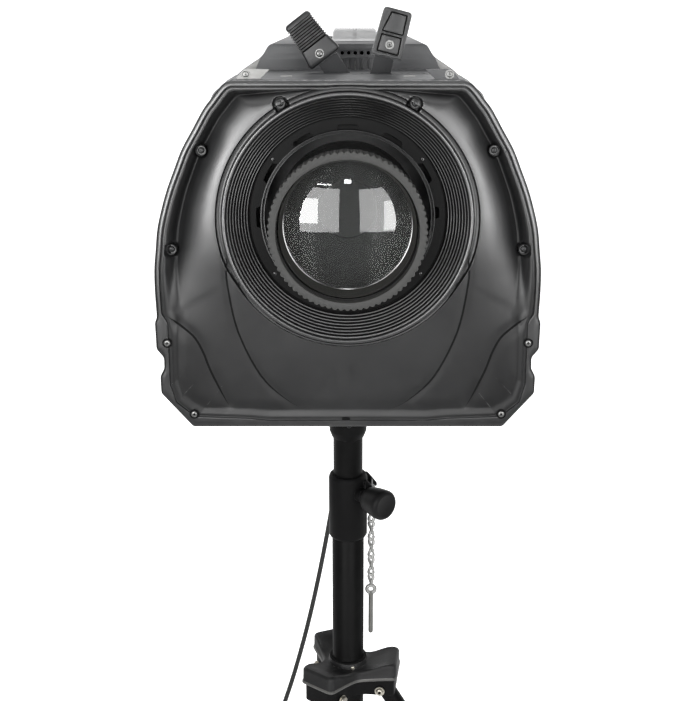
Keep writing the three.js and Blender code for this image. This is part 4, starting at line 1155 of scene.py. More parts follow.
def add_top_cover():
    side = [(165, 20.3), (156, 70), (133, 121), (112, 139), (92, 152), (84, 165)]
    cover = strip(arch(side), SHEET, TOP_COVER_START, HOUSING_END)
    face = [(p[0], p[1]) for p in arch(side) if p[1] > 121]
    vents = []
    for i in range(-2, 3):
        x = HANDLE_X + i * 7
        vents.append(rounded([(x - 0.7, 138.5), (x + 0.7, 138.5), (x + 0.7, 149.5),
                              (x - 0.7, 149.5)], 0.6))
        vents.append(circle(1.9, 14, x, 155.6))
    front = plate(face, TOP_COVER_START - 0.3, TOP_COVER_START + SHEET, holes=vents, bevel=0.7)
    cover.add(front, block((44, 1, 15), (HANDLE_X, TOP_COVER_START + 1.5, 144), bevel=0.2))
    # Pale plates on the front's upper corners: painted light where a sloped corner would catch
    # light from above.
    for mirror in (1, -1):
        corner = [(mirror * x, z) for x, z in ((98.6, 139.4), (130.5, 122.8), (111.8, 138.4),
                (93.4, 150.6))]
        cover.add(plate(rounded(corner, 0.8), TOP_COVER_START - 0.9, TOP_COVER_START - 0.2,
                        bevel=0.2, finish=3))
    mouth = rounded([(-30.9, -74.9), (30.9, -74.9), (30.9, 74.9), (-30.9, 74.9)], 8)

    def well_loop(across, along, z):
        return [(HANDLE_X + u * across, HANDLE_Y + v * along, z) for u, v in mouth]

    rim = well_loop(1, 1, 165.5)
    floor = well_loop(0.97, 0.985, 140)
    cover.add(loft([rim, well_loop(1.05, 1.02, 166.1), well_loop(1.08, 1.035, 165)], caps=False,
                   finish=1),
              loft([rim, floor], caps=False, finish=1), Shape(floor, [range(len(floor))], 1))
    for y in (-30, 60, 230, 318):
        slope = pan_screws([(0, 0, 0)], TO_RIGHT, 3.2, finish=2).turned("Y", 25.4).moved(161.4, y,
                40)
        cover.add(slope, slope.flipped())
    for i in range(9):
        rib = sweep([(0, 0, -16), (1.4, 0, -13), (1.4, 0, 13), (0, 0, 16)], circle(2.2, 10),
                    up=(0, 1, 0))
        rib.turned("Y", -24.3).moved(144.6, 96 + i * 22, 95.5)
        cover.add(rib, rib.flipped())
    seam = strip([(-165.3, 22.6), (-165.9, 19.4)], 0.6, TOP_COVER_START + 1,
                 HOUSING_END - 1).painted(1)
    cover.add(seam, seam.flipped())
    make("top_cover_shell", cover, "head", [COVER_PAINT, DARK_HOLE, STEEL, PALE_PAINT_AND_PAINTED_LIGHT], crease=32,
         replaces=["top_cover"])

    handle_loops = []
    for i in range(33):
        t = -1 + 2 * i / 32
        y = HANDLE_Y + 97 * t
        away = abs(y - HANDLE_Y)
        top = 165.6 + 13.4 * ease((97 - away) / 40)
        under = 165.3 + 4.7 * ease((72 - away) / 22)
        half = 26 - 3.5 * ease((72 - away) / 40)
        soft = min(4.0, (top - under) * 0.45)
        section = rounded([(-half, under), (half, under), (half, top), (-half, top)], soft, 4)
        handle_loops.append([(HANDLE_X + u, y, v) for u, v in section])
    handle = loft(handle_loops)
    for y in (64, 216):
        handle.add(screw_head(0, 0, 0, 2.6, 0, dome=0.2,
                              recess="cross").turned(*UPWARD).moved(HANDLE_X, y, 178.6))
    make("carry_handle_grip", handle, "head", [HANDLE_GLOSS, DARK_STEEL], crease=40,
         replaces=["carry_handle"])


def add_lower_housing():
    corners = [(-165, 20), (-165, -187, 5), (-147, -205, 5), (147, -205, 5), (165, -187, 5),
               (165, 20)]
    line = rounded(corners, 0.01, 4)
    line = line[4:-4]
    trough = strip(line[::-1], -SHEET, HOUSING_START, HOUSING_END)
    boss = [(0.1, 164), (27, 164), (27, 166.6), (26.2, 167.4), (21, 167.5), (20.6, 166.8),
            (19.4, 166.8),
            (19, 167.5), (6, 167.5), (5.6, 167), (5.6, 160)]
    side = lathe(boss, axis="X", segments=64, ring=False).moved(0, 0, TILT_Z)
    for i in range(9):
        z = -165 + i * 14
        blade = [(0, 0), (3.4, -1.2), (3.6, -2.6), (0, -7)]
        side.add(loft([[(165 + u * s, 70 + y, z + v * s) for u, v in blade]
                       for y, s in ((0, 0.05), (5, 1), (115, 1), (120, 0.05))]))
        # A dark strip under each fin: painted shade.
        side.add(block((0.8, 112, 3), (165.1, 130, z - 7.6), bevel=0.2, finish=1))
    places = [(-148, 8), (-40, 8), (60, 8), (200, 8), (326, 8), (-148, -176), (326, -176),
              (-148, -84), (326, -84)]
    side.add(pan_screws([(165.2, y, z) for y, z in places], TO_RIGHT, 3.2, finish=2))
    rail = rounded([(228, -150), (318, -150), (318, -20), (228, -20)], 8)
    inside = rounded([(233, -145), (313, -145), (313, -25), (233, -25)], 5)
    side.add(plate(rail, 164.6, 166.2, holes=[inside], bevel=0.4, axis="X"))
    trough.add(side, side.flipped())
    for x in (-110, 110):
        for y in (-120, 300):
            foot = [(0, -212.5), (9, -212.5), (10.6, -211.6), (11.5, -206), (11.5, -204.5)]
            trough.add(lathe(foot, axis="Z", segments=28, ring=False, finish=3).moved(x, y, 0))
    # Dark bars across the underside: painted shade.
    for i in range(12):
        y = 110 + i * 14
        trough.add(block((120, 5, 0.8), (0, y, -205.1), bevel=0.25, finish=1))
    make("lower_housing_shell", trough, "head", [HOUSING_PAINT, DARK_HOLE, STEEL, RUBBER],
         crease=32,
         replaces=["lower_housing"])


# ------------------------------------------------------------------ levers
def bar(outline, hole=False):
    """A lever's 5 mm bar, with or without a pivot hole at its foot."""
    return plate(outline, -2.5, 2.5, holes=[circle(4.4, 20)] if hole else (), bevel=0.5)


def grip_sections(stations):
    """A grip from stations (height, half width, half depth), lofted with rounded corners."""
    loops = []
    for v, half, deep in stations:
        outline = rounded([(-half, -deep), (half, -deep), (half, deep), (-half, deep)],
                          min(3.2, half * 0.6, deep * 0.6), 4)
        loops.append([(a, b, v) for a, b in outline])
    return loft(loops)


SHUTTER_Y, IRIS_Y = -110, -119                    # how far back each lever's plane is
SHUTTER_PIVOT = (9, 110)
GRIP_RIBS = 9


def add_shutter():
    arm = [(-9, 0), *(polar(9, a) for a in range(200, 341, 20)),
           (9, 0), (11, 18), (11, 51.5), (-11, 51.5), (-11, 18)]
    lever = bar(arm, hole=True)
    make("shutter_lever_bar", lean(lever, -35, SHUTTER_PIVOT, SHUTTER_Y), "shutter", [LEVER_PAINT],
         replaces=["shutter_lever"])
    stations = [(52.4, 15.6, 5.6), (52.9, 16.9, 6.9), (54.2, 18.3, 7.7), (57, 18.5, 8),
                (62, 17.4, 7.9),
                (67, 16.6, 7.7), (70.5, 16.2, 7.4)]
    for i in range(GRIP_RIBS):
        v = 71.6 + i * 2.75
        half = 16.3 - i * 0.14
        stations += [(v, half - 1.2, 6.0), (v + 0.75, half - 1.2, 6.0), (v + 1.1, half, 7.7),
                     (v + 2.0, half, 7.7), (v + 2.35, half - 1.2, 6.0)]
    stations += [(97.0, 15.0, 7.7), (99.4, 14.7, 7.6), (101.0, 13.8, 6.8), (102, 12, 5.4)]
    grip = grip_sections(stations)
    around = len(grip.points) // len(stations)
    # The grooves' floors between the ribs take painted shade.
    for i in range(GRIP_RIBS):
        for row in (6 + 5 * i, 7 + 5 * i):
            grip.finishes[row * around:(row + 1) * around] = [2] * around
    grip.add(screw_head(-1.5, -8.1, 60.5, 3.6, 1, dome=1.6, recess="cross", washer=4.7,
                        socket_finish=2))
    grip.add(screw_head(0, 0, 0, 3.6, 1, dome=1.2).turned(*TO_REAR).moved(1.5, 8.1, 60.5))
    make("shutter_grip_ribbed", lean(grip, -37, SHUTTER_PIVOT, SHUTTER_Y), "shutter",
         [GRIP, STEEL, DARK_HOLE], crease=38, replaces=["shutter_grip"])


def add_iris():
    arm = rounded([(-10, 87.5), (10, 87.5), (10, 158.5), (-10, 158.5)], 1.5)
    make("iris_lever_bar", lean(bar(arm), 13.5, (0, 0), IRIS_Y), "iris", [LEVER_PAINT],
         replaces=["iris_lever"])
    outline = rounded([(-15.6, 159.3, 3), (15.6, 159.3, 3), (15.5, 163), (14.8, 206.6, 4),
                       (-13.9, 206.6, 4),
                       (-15.4, 163)], 1.0)
    pad = [(-9.6, 184), (10.2, 184), (9.4, 202), (-4.8, 202)]
    box = [(-10, 164), (10, 164), (9.4, 179.4), (-9.4, 179.4)]

    def grown(corners, by):
        centre = sum(v for _, v in corners) / 4
        return rounded([(u + by * (1 if u > 0 else -1), v + by * (1 if v > centre else -1))
                        for u, v in corners], 1.5)

    grip = plate(outline, -6.4, 8, bevel=1.2)
    grip.add(plate(outline, -8.4, -6.0, holes=[grown(pad, 1.4), grown(box, 1.4)],
                   bevel=0.7, finish=1))
    # Dark plates behind the gaps round the pad and the box: painted shade.
    for corners in (pad, box):
        grip.add(plate(grown(corners, 1.3), -6.7, -6.2, bevel=0.1, finish=3))
    grip.add(plate(rounded(pad, 1.2), -7.5, -5.9, bevel=0.5, finish=1))
    grip.add(plate(rounded(box, 1.2), -7.5, -5.9, bevel=0.5))
    grip.add(screw_head(0.2, -8.2, 171.5, 2.9, 2, dome=0.9, washer=4.5, socket_finish=3))
    for v in (166, 176, 186, 196):
        grip.add(block((22 - (v - 166) * 0.06, 1.0, 2.4), (0, 8.1, v), bevel=0.4))
    make("iris_grip_framed", lean(grip, 14.1, (0, 0), IRIS_Y), "iris",
         [GRIP, GRIP_LIGHT, STEEL, DARK_HOLE],
         replaces=["iris_grip"])


# Pale grey paint; on the top cover's front corners it is painted light, where a sloped corner would
# catch light from above.
PALE_PAINT_AND_PAINTED_LIGHT = finish("pale_paint_and_painted_light", (0.25, 0.248, 0.24), 0.45, specular=0.4, grain=0.2,
                 wear=0.0006, wear_colour=0.3)
HANDLE_GLOSS = finish("carry_handle_gloss", 0.33, 0.22, specular=0.8, grain=0.0, spread=0.05)
HOUSING_PAINT = finish("housing_paint", (0.028, 0.029, 0.031), 0.46, specular=0.42, grain=0.3,
                       grain_scale=1100, wear=0.0009, wear_colour=0.16, dust=0.05)
GRIP_LIGHT = finish("iris_grip_frame", (0.017, 0.0175, 0.018), 0.45, specular=0.36, grain=0.1,
                    grain_scale=900, wear=0.0008, wear_colour=0.22)
add_front_top()
add_top_cover()
add_lower_housing()
add_shutter()
add_iris()

# ------------------------------------------------------------------ back of the head
PLATE_Y = 342.0
ROW_Z = -120                                      # height of the row of sockets, cord and switch
BUTTONS, BUTTONS_Z = [-18, 6, 30], 56
DISPLAY_Z = 90


def square(width, height, x=0.0, z=0.0, radius=2.0):
    """A rectangle with rounded corners round (x, z)."""
    half, rise = width / 2, height / 2
    return rounded([(x - half, z - rise), (x + half, z - rise), (x + half, z + rise),
                    (x - half, z + rise)],
                   radius)


REAR_PAINT = finish("rear_panel_paint", (0.014, 0.0142, 0.0148), 0.5, specular=0.35, grain=0.3,
                    grain_scale=1100, wear=0.0009, wear_colour=0.14, mottle=0.25, dust=0.05)


def add_rear_panel():
    outline = rounded(mirror_outline([(84, 165), (92, 152), (112, 139), (133, 121), (156, 70),
                                      (165, 20),
                                      (165, -187), (147, -205)]), 4)
    slots = [square(6, 74, -96 + i * 12, -32, 2.9) for i in range(17)]
    holes = [*slots, square(21, 29, -40, ROW_Z, 1), circle(7.2, 24, 31, ROW_Z)]
    panel = plate(outline, 338.3, PLATE_Y, holes=holes, bevel=0.7)
    for i in range(34):
        panel.add(rod((-104 + i * 6.3, 337, -72), (-104 + i * 6.3, 337, 8), 0.5, count=6,
                      chamfer=0.1, finish=1))
    for i in range(13):
        panel.add(rod((-106, 336.4, -70 + i * 6.3), (106, 336.4, -70 + i * 6.3), 0.5, count=6,
                      chamfer=0.1,
                     finish=1))
    edge = [(78, 156), (-78, 156), (124, 126), (-124, 126), (154, 40), (-154, 40), (157, -60),
            (-157, -60),
            (157, -160), (-157, -160), (120, -196), (-120, -196), (0, -196)]
    panel.add(pan_screws([(x, PLATE_Y + 0.1, z) for x, z in edge], TO_REAR, 3.4, finish=2))
    handles = [(x, PLATE_Y + 0.1, z) for x in (-134, -116, 134, 116) for z in (-70, 60)]
    panel.add(pan_screws(handles, TO_REAR, 2.4, finish=2))
    bezel = plate(square(27, 35, -40, ROW_Z, 3), PLATE_Y, PLATE_Y + 1.8,
                  holes=[square(20.4, 28.4, -40, ROW_Z, 1)], bevel=0.5, finish=3)
    panel.add(bezel)
    ground = lathe([(0, 11), (2.6, 11), (2.9, 10.6), (2.9, 6), (5.4, 6), (5.4, 1.2), (8, 1.2),
                    (8, 0)],
                   segments=24, ring=False, finish=2).moved(-92, PLATE_Y, ROW_Z)
    panel.add(ground)
    make("rear_panel_sheet", panel, "head", [REAR_PAINT, DARK_STEEL, STEEL, GRIP], crease=32,
         replaces=["rear_panel"])


def add_controls():
    front = 348.3
    holes = [square(69.8, 29.8, 0, DISPLAY_Z, 1.5)] + [circle(6.6, 28, x,
            BUTTONS_Z) for x in BUTTONS]
    bezel = plate(square(130, 76, 0, 76, 6), front - 4.4, front, holes=holes, bevel=1.0)
    bezel.add(plate(square(130, 76, 0, 76, 6), PLATE_Y + 0.3, front - 4.2, bevel=0.4))
    corners = [(x, front + 0.1, z) for x in (-58, 58) for z in (45, 107)]
    bezel.add(pan_screws(corners, TO_REAR, 2.6, finish=1))
    for x in BUTTONS:
        bezel.add(lathe([(8.6, front - 0.6), (8.6, front + 0.5), (8.2, front + 0.8),
                         (7.2, front + 0.8),
                         (6.7, front + 0.3), (6.7, front - 3)], segments=36, ring=False, finish=1)
                  .moved(x, 0, BUTTONS_Z))
    for x, tone in ((-52, 2), (-42, 3)):
        bezel.add(lathe([(0, front + 1.6), (1.2, front + 1.4), (1.8, front + 0.6),
                         (2.4, front + 0.3),
                         (2.4, front - 0.5)], segments=20, ring=False, finish=tone).moved(x, 0,
                                 BUTTONS_Z))
    make("control_panel_bezel", bezel, "head", [MOULDED, DARK_STEEL, LAMP_GREEN, LAMP_AMBER],
         replaces=["control_panel"])
    window = plate(square(69.2, 29.2, 0, DISPLAY_Z, 1.2), front - 2.8, front - 0.5, bevel=0.5)
    window.add(plate(square(56, 19, 0, DISPLAY_Z, 0.6), front - 0.55, front - 0.42, bevel=0.05,
                     finish=1))
    make("display_glass_window", window, "head", [DISPLAY, DISPLAY_FIELD],
         replaces=["display_window"])
    for i, x in enumerate(BUTTONS):
        y = front - 3
        cap = [(0, y + 5.1), (2.6, y + 5.15), (4.4, y + 5.5), (5.3, y + 5.4), (5.9, y + 4.8),
               (6.0, y + 4.2),
               (6.0, y + 0.6), (0, y + 0.6)]
        button = lathe(cap, segments=40, ring=False).moved(x, 0, BUTTONS_Z)
        wide, high = [(3.4, 0.7), (0.7, 3.4), (2.0, 2.0)][i]
        button.add(block((wide, 0.4, high), (x, y + 5.2, BUTTONS_Z), bevel=0.12, finish=1))
        make(f"menu_button_cap_{i + 1}", button, f"menu_button_{i + 1}", [GRIP, GRIP_LIGHT],
             replaces=[f"menu_button_{i + 1}"])


def add_rear_fittings():
    key = [(-6, -13), (0.5, -13, 1.2), (4, -12, 1.2), (1.6, 0, 8), (4, 12, 1.2), (0.5, 13, 1.2),
           (-6, 13)]
    rocker = plate(rounded(key, 0.6), -9.4, 9.4, bevel=0.6, axis="X")
    rocker.add(block((6, 0.5, 1.2), (0, 3.3, -8), bevel=0.15, finish=1))
    rocker.add(block((1.2, 0.5, 5), (0, 3.3, 8), bevel=0.15, finish=1))
    make("power_switch_rocker", rocker.moved(-40, PLATE_Y, ROW_Z), "power_switch",
         [GRIP, GRIP_LIGHT],
         replaces=["power_switch"])

    front = PLATE_Y + 0.3
    sockets = plate(square(66, 30, 104, ROW_Z, 3), front, front + 3, bevel=0.5,
                    holes=[circle(9.4, 40, x, ROW_Z) for x in (88, 120)])
    for x, male in ((88, True), (120, False)):
        ring = [(9.6, 0.2), (9.6, 8.2), (10.0, 8.9), (10.9, 9), (11.5, 8.4), (11.5, 3), (12.6, 2.9),
                (12.6, 1)]
        sockets.add(lathe(ring, segments=48, ring=False).moved(x, front, ROW_Z))
        face = 1.0 if male else 7.4
        sockets.add(lathe([(9.7, face), (9.2, face + 0.3), (0, face + 0.3)], segments=40,
                          ring=False,
                          finish=1).moved(x, front, ROW_Z))
        for turn in (90, 210, 330):
            u, v = polar(4.6, turn)
            if male:
                sockets.add(rod((x + u, front + 1, ROW_Z + v), (x + u, front + 6.6, ROW_Z + v), 1.1,
                                12, 0.4))
            else:
                sockets.add(lathe([(1.5, 7.9), (1.2, 7.9), (1.0, 7.6), (1.0, 6), (0, 6)],
                                  segments=16,
                                  ring=False, finish=2).moved(x + u, front, ROW_Z + v))
        sockets.add(block((4.6, 1.6, 2.2), (x, front + 8.4, ROW_Z + 12), bevel=0.4))
        for u, v in ((-12.5, 11), (12.5, -11)):
            sockets.add(pan_screws([(x + u, front + 3, ROW_Z + v)], TO_REAR, 1.9, finish=0))
    make("signal_socket_pair", sockets, "head", [STEEL, RUBBER, DARK_HOLE], crease=36,
         replaces=["signal_sockets"])

    for name, side in (("rear_handle_right", 1), ("rear_handle_left", -1)):
        start = front
        path = [(0, start, -55), (0, start + 9, -55), (0, start + 19, -51.5), (0, start + 26, -44),
                (0, start + 28, -34), (0, start + 28, -5), (0, start + 28, 24), (0, start + 26, 34),
                (0, start + 19, 41.5), (0, start + 9, 45), (0, start, 45)]
        line = smooth_path(path, steps=4)
        section = rounded([(-10, -7), (10, -7), (10, 7), (-10, 7)], 5.5, 4)
        sizes = [1 + 0.1 * exp(-(min(i, len(line) - 1 - i) / 3) ** 2) for i in range(len(line))]
        bow = sweep(line, section, up=(0, 0, 1), sizes=sizes)
        for i in range(9):
            z = -29 + i * 6
            soft = rounded([(-9.9, -6.7), (9.9, -6.7), (9.9, 6.7), (-9.9, 6.7)], 5.2, 4)
            bow.add(loft([[(u * grow, start + 28 + v * grow, z + up) for u, v in soft]
                          for grow, up in ((1, -1.5), (1.05, -0.9), (1.05, 0.9),
                                           (1, 1.5))], caps=False))
        for z in (-55, 45):
            bow.add(plate(square(24, 18, 0, z, 6), start, start + 3, bevel=1.0))
        make(name + "_bow", bow.moved(side * 125, 0, 0), "head", [RUBBER], crease=40,
             replaces=[name])

    relief = [(3.9, 338), (6.8, 338), (6.8, front), (12, front), (12.3, front + 0.8),
              (12.3, front + 5.4),
              (11.6, front + 6.4), (9.6, front + 6.8)]
    for i in range(6):
        y = front + 8.2 + i * 4.5
        r = 9.2 - i * 0.6
        relief += [(r, y), (r, y + 2.3), (r - 1.0, y + 2.7), (r - 1.1, y + 4.0)]
    relief += [(5.5, 378), (5.2, 379.6), (4.8, 380), (3.9, 380)]

    def hexed(r, turn, i):
        return hexagon(r, turn) * 0.93 if 3 < i < 6 else r

    gland = lathe(relief, segments=48, radius=hexed).moved(31, 0, ROW_Z)
    make("cord_strain_relief", gland, "head", [RUBBER], crease=40, replaces=["cord_gland"])


LAMP_GREEN = finish("lamp_green", (0.02, 0.16, 0.04), 0.2, specular=0.6, grain=0.0)
LAMP_AMBER = finish("lamp_amber", (0.4, 0.14, 0.01), 0.2, specular=0.6, grain=0.0)
DISPLAY_FIELD = finish("display_field", (0.012, 0.02, 0.028), 0.25, specular=0.5, grain=0.05)
add_rear_panel()
add_controls()
add_rear_fittings()

# ------------------------------------------------------------------ yoke, socket and tilt knobs
def add_yoke():
    side, bottom, bend = -171, -267, 9
    run = [(side, 0, -62), (side, 0, -160), (side, 0, bottom + bend)]
    for angle in range(15, 91, 15):
        u, v = polar(bend, angle)
        run.append((side + bend - u, 0, bottom + bend - v))
    run += [(-90, 0, bottom), (0, 0, bottom)]
    section = rounded([(-25, -3), (25, -3), (25, 3), (-25, 3)], 1.4, 3)
    half = sweep(run, section, up=(1, 0, 0))
    fork = Shape().add(half, half.flipped())
    top = [(-25, -64)]
    for angle in range(0, 181, 10):
        u, v = polar(25, angle)
        top.append((-u, TILT_Z + v))
    top.append((25, -64))
    cheek = plate(top, 168, 174, holes=[circle(5.4, 24, 0, TILT_Z)], bevel=0.9, axis="X")
    cheek.add(block((3.2, 9, 118), (175.4, 0, -150), bevel=1.2))
    cheek.add(lathe([(5.6, 174), (15.5, 174), (15.5, 174.25), (5.6, 174.25)], axis="X", segments=40,
                    finish=1).moved(0, 0, TILT_Z))
    for k in range(-4, 5):
        mark = block((0.5, 0.9, 3.6 if k % 2 else 5), (174.05, 0, 21), bevel=0.12, finish=2)
        cheek.add(mark.turned("X", k * 11).moved(0, 0, TILT_Z))
    fork.add(cheek, cheek.flipped())
    make("yoke_fork", fork, "yoke", [STAND_PAINT, DARK_STEEL, MARK_GREY], crease=40,
         replaces=["yoke"])
    pad = lathe([(20.5, 167.6), (24.5, 167.6), (24.5, 167.95), (20.5, 167.95)], axis="X",
                segments=48)
    pad.moved(0, 0, TILT_Z)
    make("tilt_friction_pads", pad.add(pad.flipped()), "yoke", [RUBBER])
    bolt = [(0, -257.0), (8.6, -257.0), (10.2, -257.6), (10.2, -263), (11.4, -263.1),
            (11.4, -263.9), (0, -263.9)]

    def hexed(r, turn, i):
        return hexagon(r, turn) * 0.93 if i in (2, 3) else r

    make("yoke_hex_bolt", lathe(bolt, axis="Z", segments=48, ring=False, radius=hexed), "yoke",
         [STEEL],
         replaces=["yoke_bolt"])


def add_socket():
    profile = [(6.3, -270.4), (21.8, -270.4), (22.5, -271.1), (22.5, -289.8), (22.1, -291),
               (19.6, -297.6),
               (18.6, -298.9), (15.3, -298.9), (14.9, -300.5), (14.9, -318), (14.4, -319), (14.4,
                       -330), (14.9, -331),
               (14.9, -366), (13.6, -369), (0, -369)]
    body = lathe(profile, axis="Z", segments=72, ring=False)
    body.add(screw_head(1.4, -22.9, -277.5, 2.9, 1, dome=0.9, recess="cross", socket_finish=2))
    body.add(rod((-7, -21.2, -284), (-7, -22.2, -284), 1.2, 10, 0.2, finish=2))
    for turn in (120, 240):
        body.add(screw_head(0, -22.9, -279, 2.9, 1, dome=0.5, socket_finish=2).turned("Z", turn))
    make("stand_socket_body", body, "yoke", [STAND_PAINT, DARK_STEEL, DARK_HOLE],
         replaces=["stand_socket"])


def add_tilt_knobs():
    flutes = 7

    def fluted(r, turn, i):
        if not 5 <= i <= 10:
            return r
        return r * (1 - 0.11 * max(0.0, cos(turn * flutes)) ** 1.5)

    profile = [(0, 154), (4.9, 154), (4.9, 174.3), (14.6, 174.3), (15, 175), (15.4, 180.3),
               (19.2, 182),
               (20, 184), (20, 200.5), (19.2, 203), (17.2, 204.2), (9.5, 204.3), (8.8, 203.4), (0,
                       203.4)]
    knob = lathe(profile, axis="X", segments=168, ring=False, radius=fluted)
    knob.add(lathe([(7.8, 203.2), (7.8, 203.9), (7.2, 204.3), (0, 204.3)], axis="X", segments=40,
                   ring=False,
                   finish=1))
    for name, side in (("tilt_knob_right", 1), ("tilt_knob_left", -1)):
        shape = (knob if side > 0 else knob.flipped()).copy().moved(0, 0, TILT_Z)
        make(name + "_fluted", shape, name, [GRIP, DARK_STEEL], crease=42, replaces=[name])


# ------------------------------------------------------------------ column
KNOB_AZIMUTH, KNOB_Z = -50, 832                   # which way the lock knob points, its height
CHAIN_X, CHAIN_Y, CHAIN_TOP = 29, 4, 828.8
CHAIN_PITCH, CHAIN_LINKS = 12.2, 11


def add_column():
    outer = [(18.3, 22), (19.5, 22), (19.8, 22.4), (19.8, 60), (19.8, 779.5), (19.5, 780),
             (18.3, 780)]
    tube = lathe(outer, axis="Z", segments=72)
    tube.add(lathe([(0, 20.6), (17, 20.6), (19.4, 20.8), (19.95, 21.4), (19.95, 30), (19.8, 30.4)],
                   axis="Z",
                   segments=60, ring=False, finish=1))
    make("outer_tube_body", tube, "stand", [TUBE_PAINT, RUBBER], origin=STAND,
         replaces=["outer_tube"])
    inner = [(15.5, 345), (17.6, 345), (17.9, 345.4), (17.9, 620), (17.9, 900.2), (17.5, 900.7),
             (15.5, 900.7)]
    mast = lathe(inner, axis="Z", segments=72)
    for z in (700, 740):
        mast.add(lathe([(17.95, z), (17.95, z + 1.2)], axis="Z", segments=72, ring=False, finish=1))
    make("inner_tube_body", mast, "mast", [TUBE_PAINT, MARK_GREY], origin=STAND,
         replaces=["inner_tube"])


def add_collar():
    collar = lathe([(20.1, 770), (21.4, 770), (21.9, 770.3), (23.5, 773), (23.7, 774),
                    (23.7, 848.2), (23.4, 849.4),
                    (22.0, 852.6), (21.4, 853), (18.2, 853), (18.2, 780.3), (20.1,
                            780.3)], axis="Z", segments=72)
    boss = lathe([(4.6, 19.6), (9, 19.6), (9, 27.6), (8.4, 28.9), (4.6, 29)], axis="X", segments=36)
    collar.add(boss.turned("Z", KNOB_AZIMUTH).moved(0, 0, KNOB_Z))
    for start, end, near, low in ((-16.4, -12.4, 21.4, 822), (13.8, 17.8, 13.4, 829.4)):
        wing = rounded([(near, 848.6), (24.2, 848), (36, 833.5), (36, low), (near, low)], 1.2)
        collar.add(plate(wing, start, end, bevel=0.9))
    collar.add(block((6, 9, 5), (20.4, -10, 845.6), bevel=0.8))
    collar.add(rod((29, -14, 838.4), (29, 16, 838.4), 1.7, count=16, finish=1))
    # The clamp's slit drawn as a dark strip on the surface: painted shade.
    slit = block((0.9, 0.5, 60), (-3.5, -23.55, 812), bevel=0.15, finish=2)
    collar.add(slit.turned("Z", 200))
    make("lock_collar_clamp", collar, "stand", [STAND_PAINT, DARK_STEEL, DARK_HOLE], origin=STAND,
         replaces=["lock_collar"])
    profile = [(0, 0), (4, 0), (4, 10.6), (8.6, 10.6), (8.6, 18.6), (13.4, 19.4), (15.6, 22.6),
               (17.2, 32),
               (18.3, 42), (18.5, 45.6), (18.2, 47.8), (17.2, 49.6), (15.6, 50.6), (13.4,
                       51), (12.8, 50.7),
               (0, 50.6)]
    knob = lathe(profile, axis="X", segments=96, ring=False)
    knob.moved(19.2, 0, 0).turned("Z", KNOB_AZIMUTH).moved(0, 0, KNOB_Z)
    make("lock_knob_turned", knob, "lock_knob", [KNOB_PLASTIC], origin=STAND, crease=40,
         replaces=["lock_knob"])


def add_keeper():
    oval = []
    for k in range(20):
        turn = 2 * pi * k / 20
        oval.append((2.9 * cos(turn), 1.5 * sin(2 * turn), 6.0 * sin(turn)))
    chain = Shape()
    for i in range(CHAIN_LINKS):
        link = sweep(oval, circle(2.05, 8), closed=True, up=(0, 1, 0)).turned("Z",
                28 if i % 2 else -42)
        chain.add(link.moved(CHAIN_X, CHAIN_Y, CHAIN_TOP - i * CHAIN_PITCH))
    make("keeper_chain_links", chain, "keeper", [ZINC_BRIGHT], origin=STAND, crease=60,
         replaces=["keeper_chain"])
    eye = CHAIN_TOP - (CHAIN_LINKS - 1) * CHAIN_PITCH - 14
    split = []
    for k in range(44):
        turn = 2 * pi * k / 22
        split.append((5.2 * cos(turn), -1.2 + 2.4 * k / 43, 5.2 * sin(turn)))
    pin = sweep(split, circle(2.3, 8), up=(0, 1, 0)).moved(CHAIN_X, CHAIN_Y, eye)
    shank = [(0, eye - 62), (1.5, eye - 61.8), (2.7, eye - 60.6), (3.0, eye - 59), (3.0, eye - 8.8),
             (3.3, eye - 8.2), (3.3, eye - 4.4), (1.6, eye - 3.6), (0, eye - 3.6)]
    pin.add(lathe(shank, axis="Z", segments=24, ring=False, finish=1).moved(CHAIN_X, CHAIN_Y, 0))
    make("keeper_pin_and_ring", pin, "keeper", [ZINC_BRIGHT, PIN_STEEL], origin=STAND, crease=60,
         replaces=["keeper_pin"])


# ------------------------------------------------------------------ tripod
LEGS = {"a": -8, "b": 112, "c": 232}
LEG_TOP = Vector((44, 0, 566))
LEG_END = Vector((390, 0, 14))
LEG_DOWN = (LEG_END - LEG_TOP).normalized()
BRACE_PIN = LEG_TOP + LEG_DOWN * 270
SPREADER_PIN = Vector((38, 0, 120))
PIVOT_X, PIVOT_Z = LEG_TOP.x, LEG_TOP.z


def hub_outline(shrink):
    """Three square-ended lobes joined by waists, as points by rising angle."""
    outline = []
    reach, half, waist = 65 - shrink, 25 - shrink, 33 - shrink
    for azimuth in LEGS.values():
        lobe = rounded([(40, -half), (reach, -half, 8), (reach, half, 8), (40, half)], 0.01,
                       6)[7:21]
        turn = Matrix.Rotation(radians(azimuth), 2)
        start = turn @ Vector(lobe[-1])
        end = Matrix.Rotation(radians(azimuth + 120), 2) @ Vector(lobe[0])
        dip = Matrix.Rotation(radians(azimuth + 60), 2) @ Vector((waist, 0))
        bay = smooth_path([(*start, 0), (*dip, 0), (*end, 0)], steps=9)[1:-1]
        outline += [turn @ Vector(p) for p in lobe] + [p.xy for p in bay]
    return outline


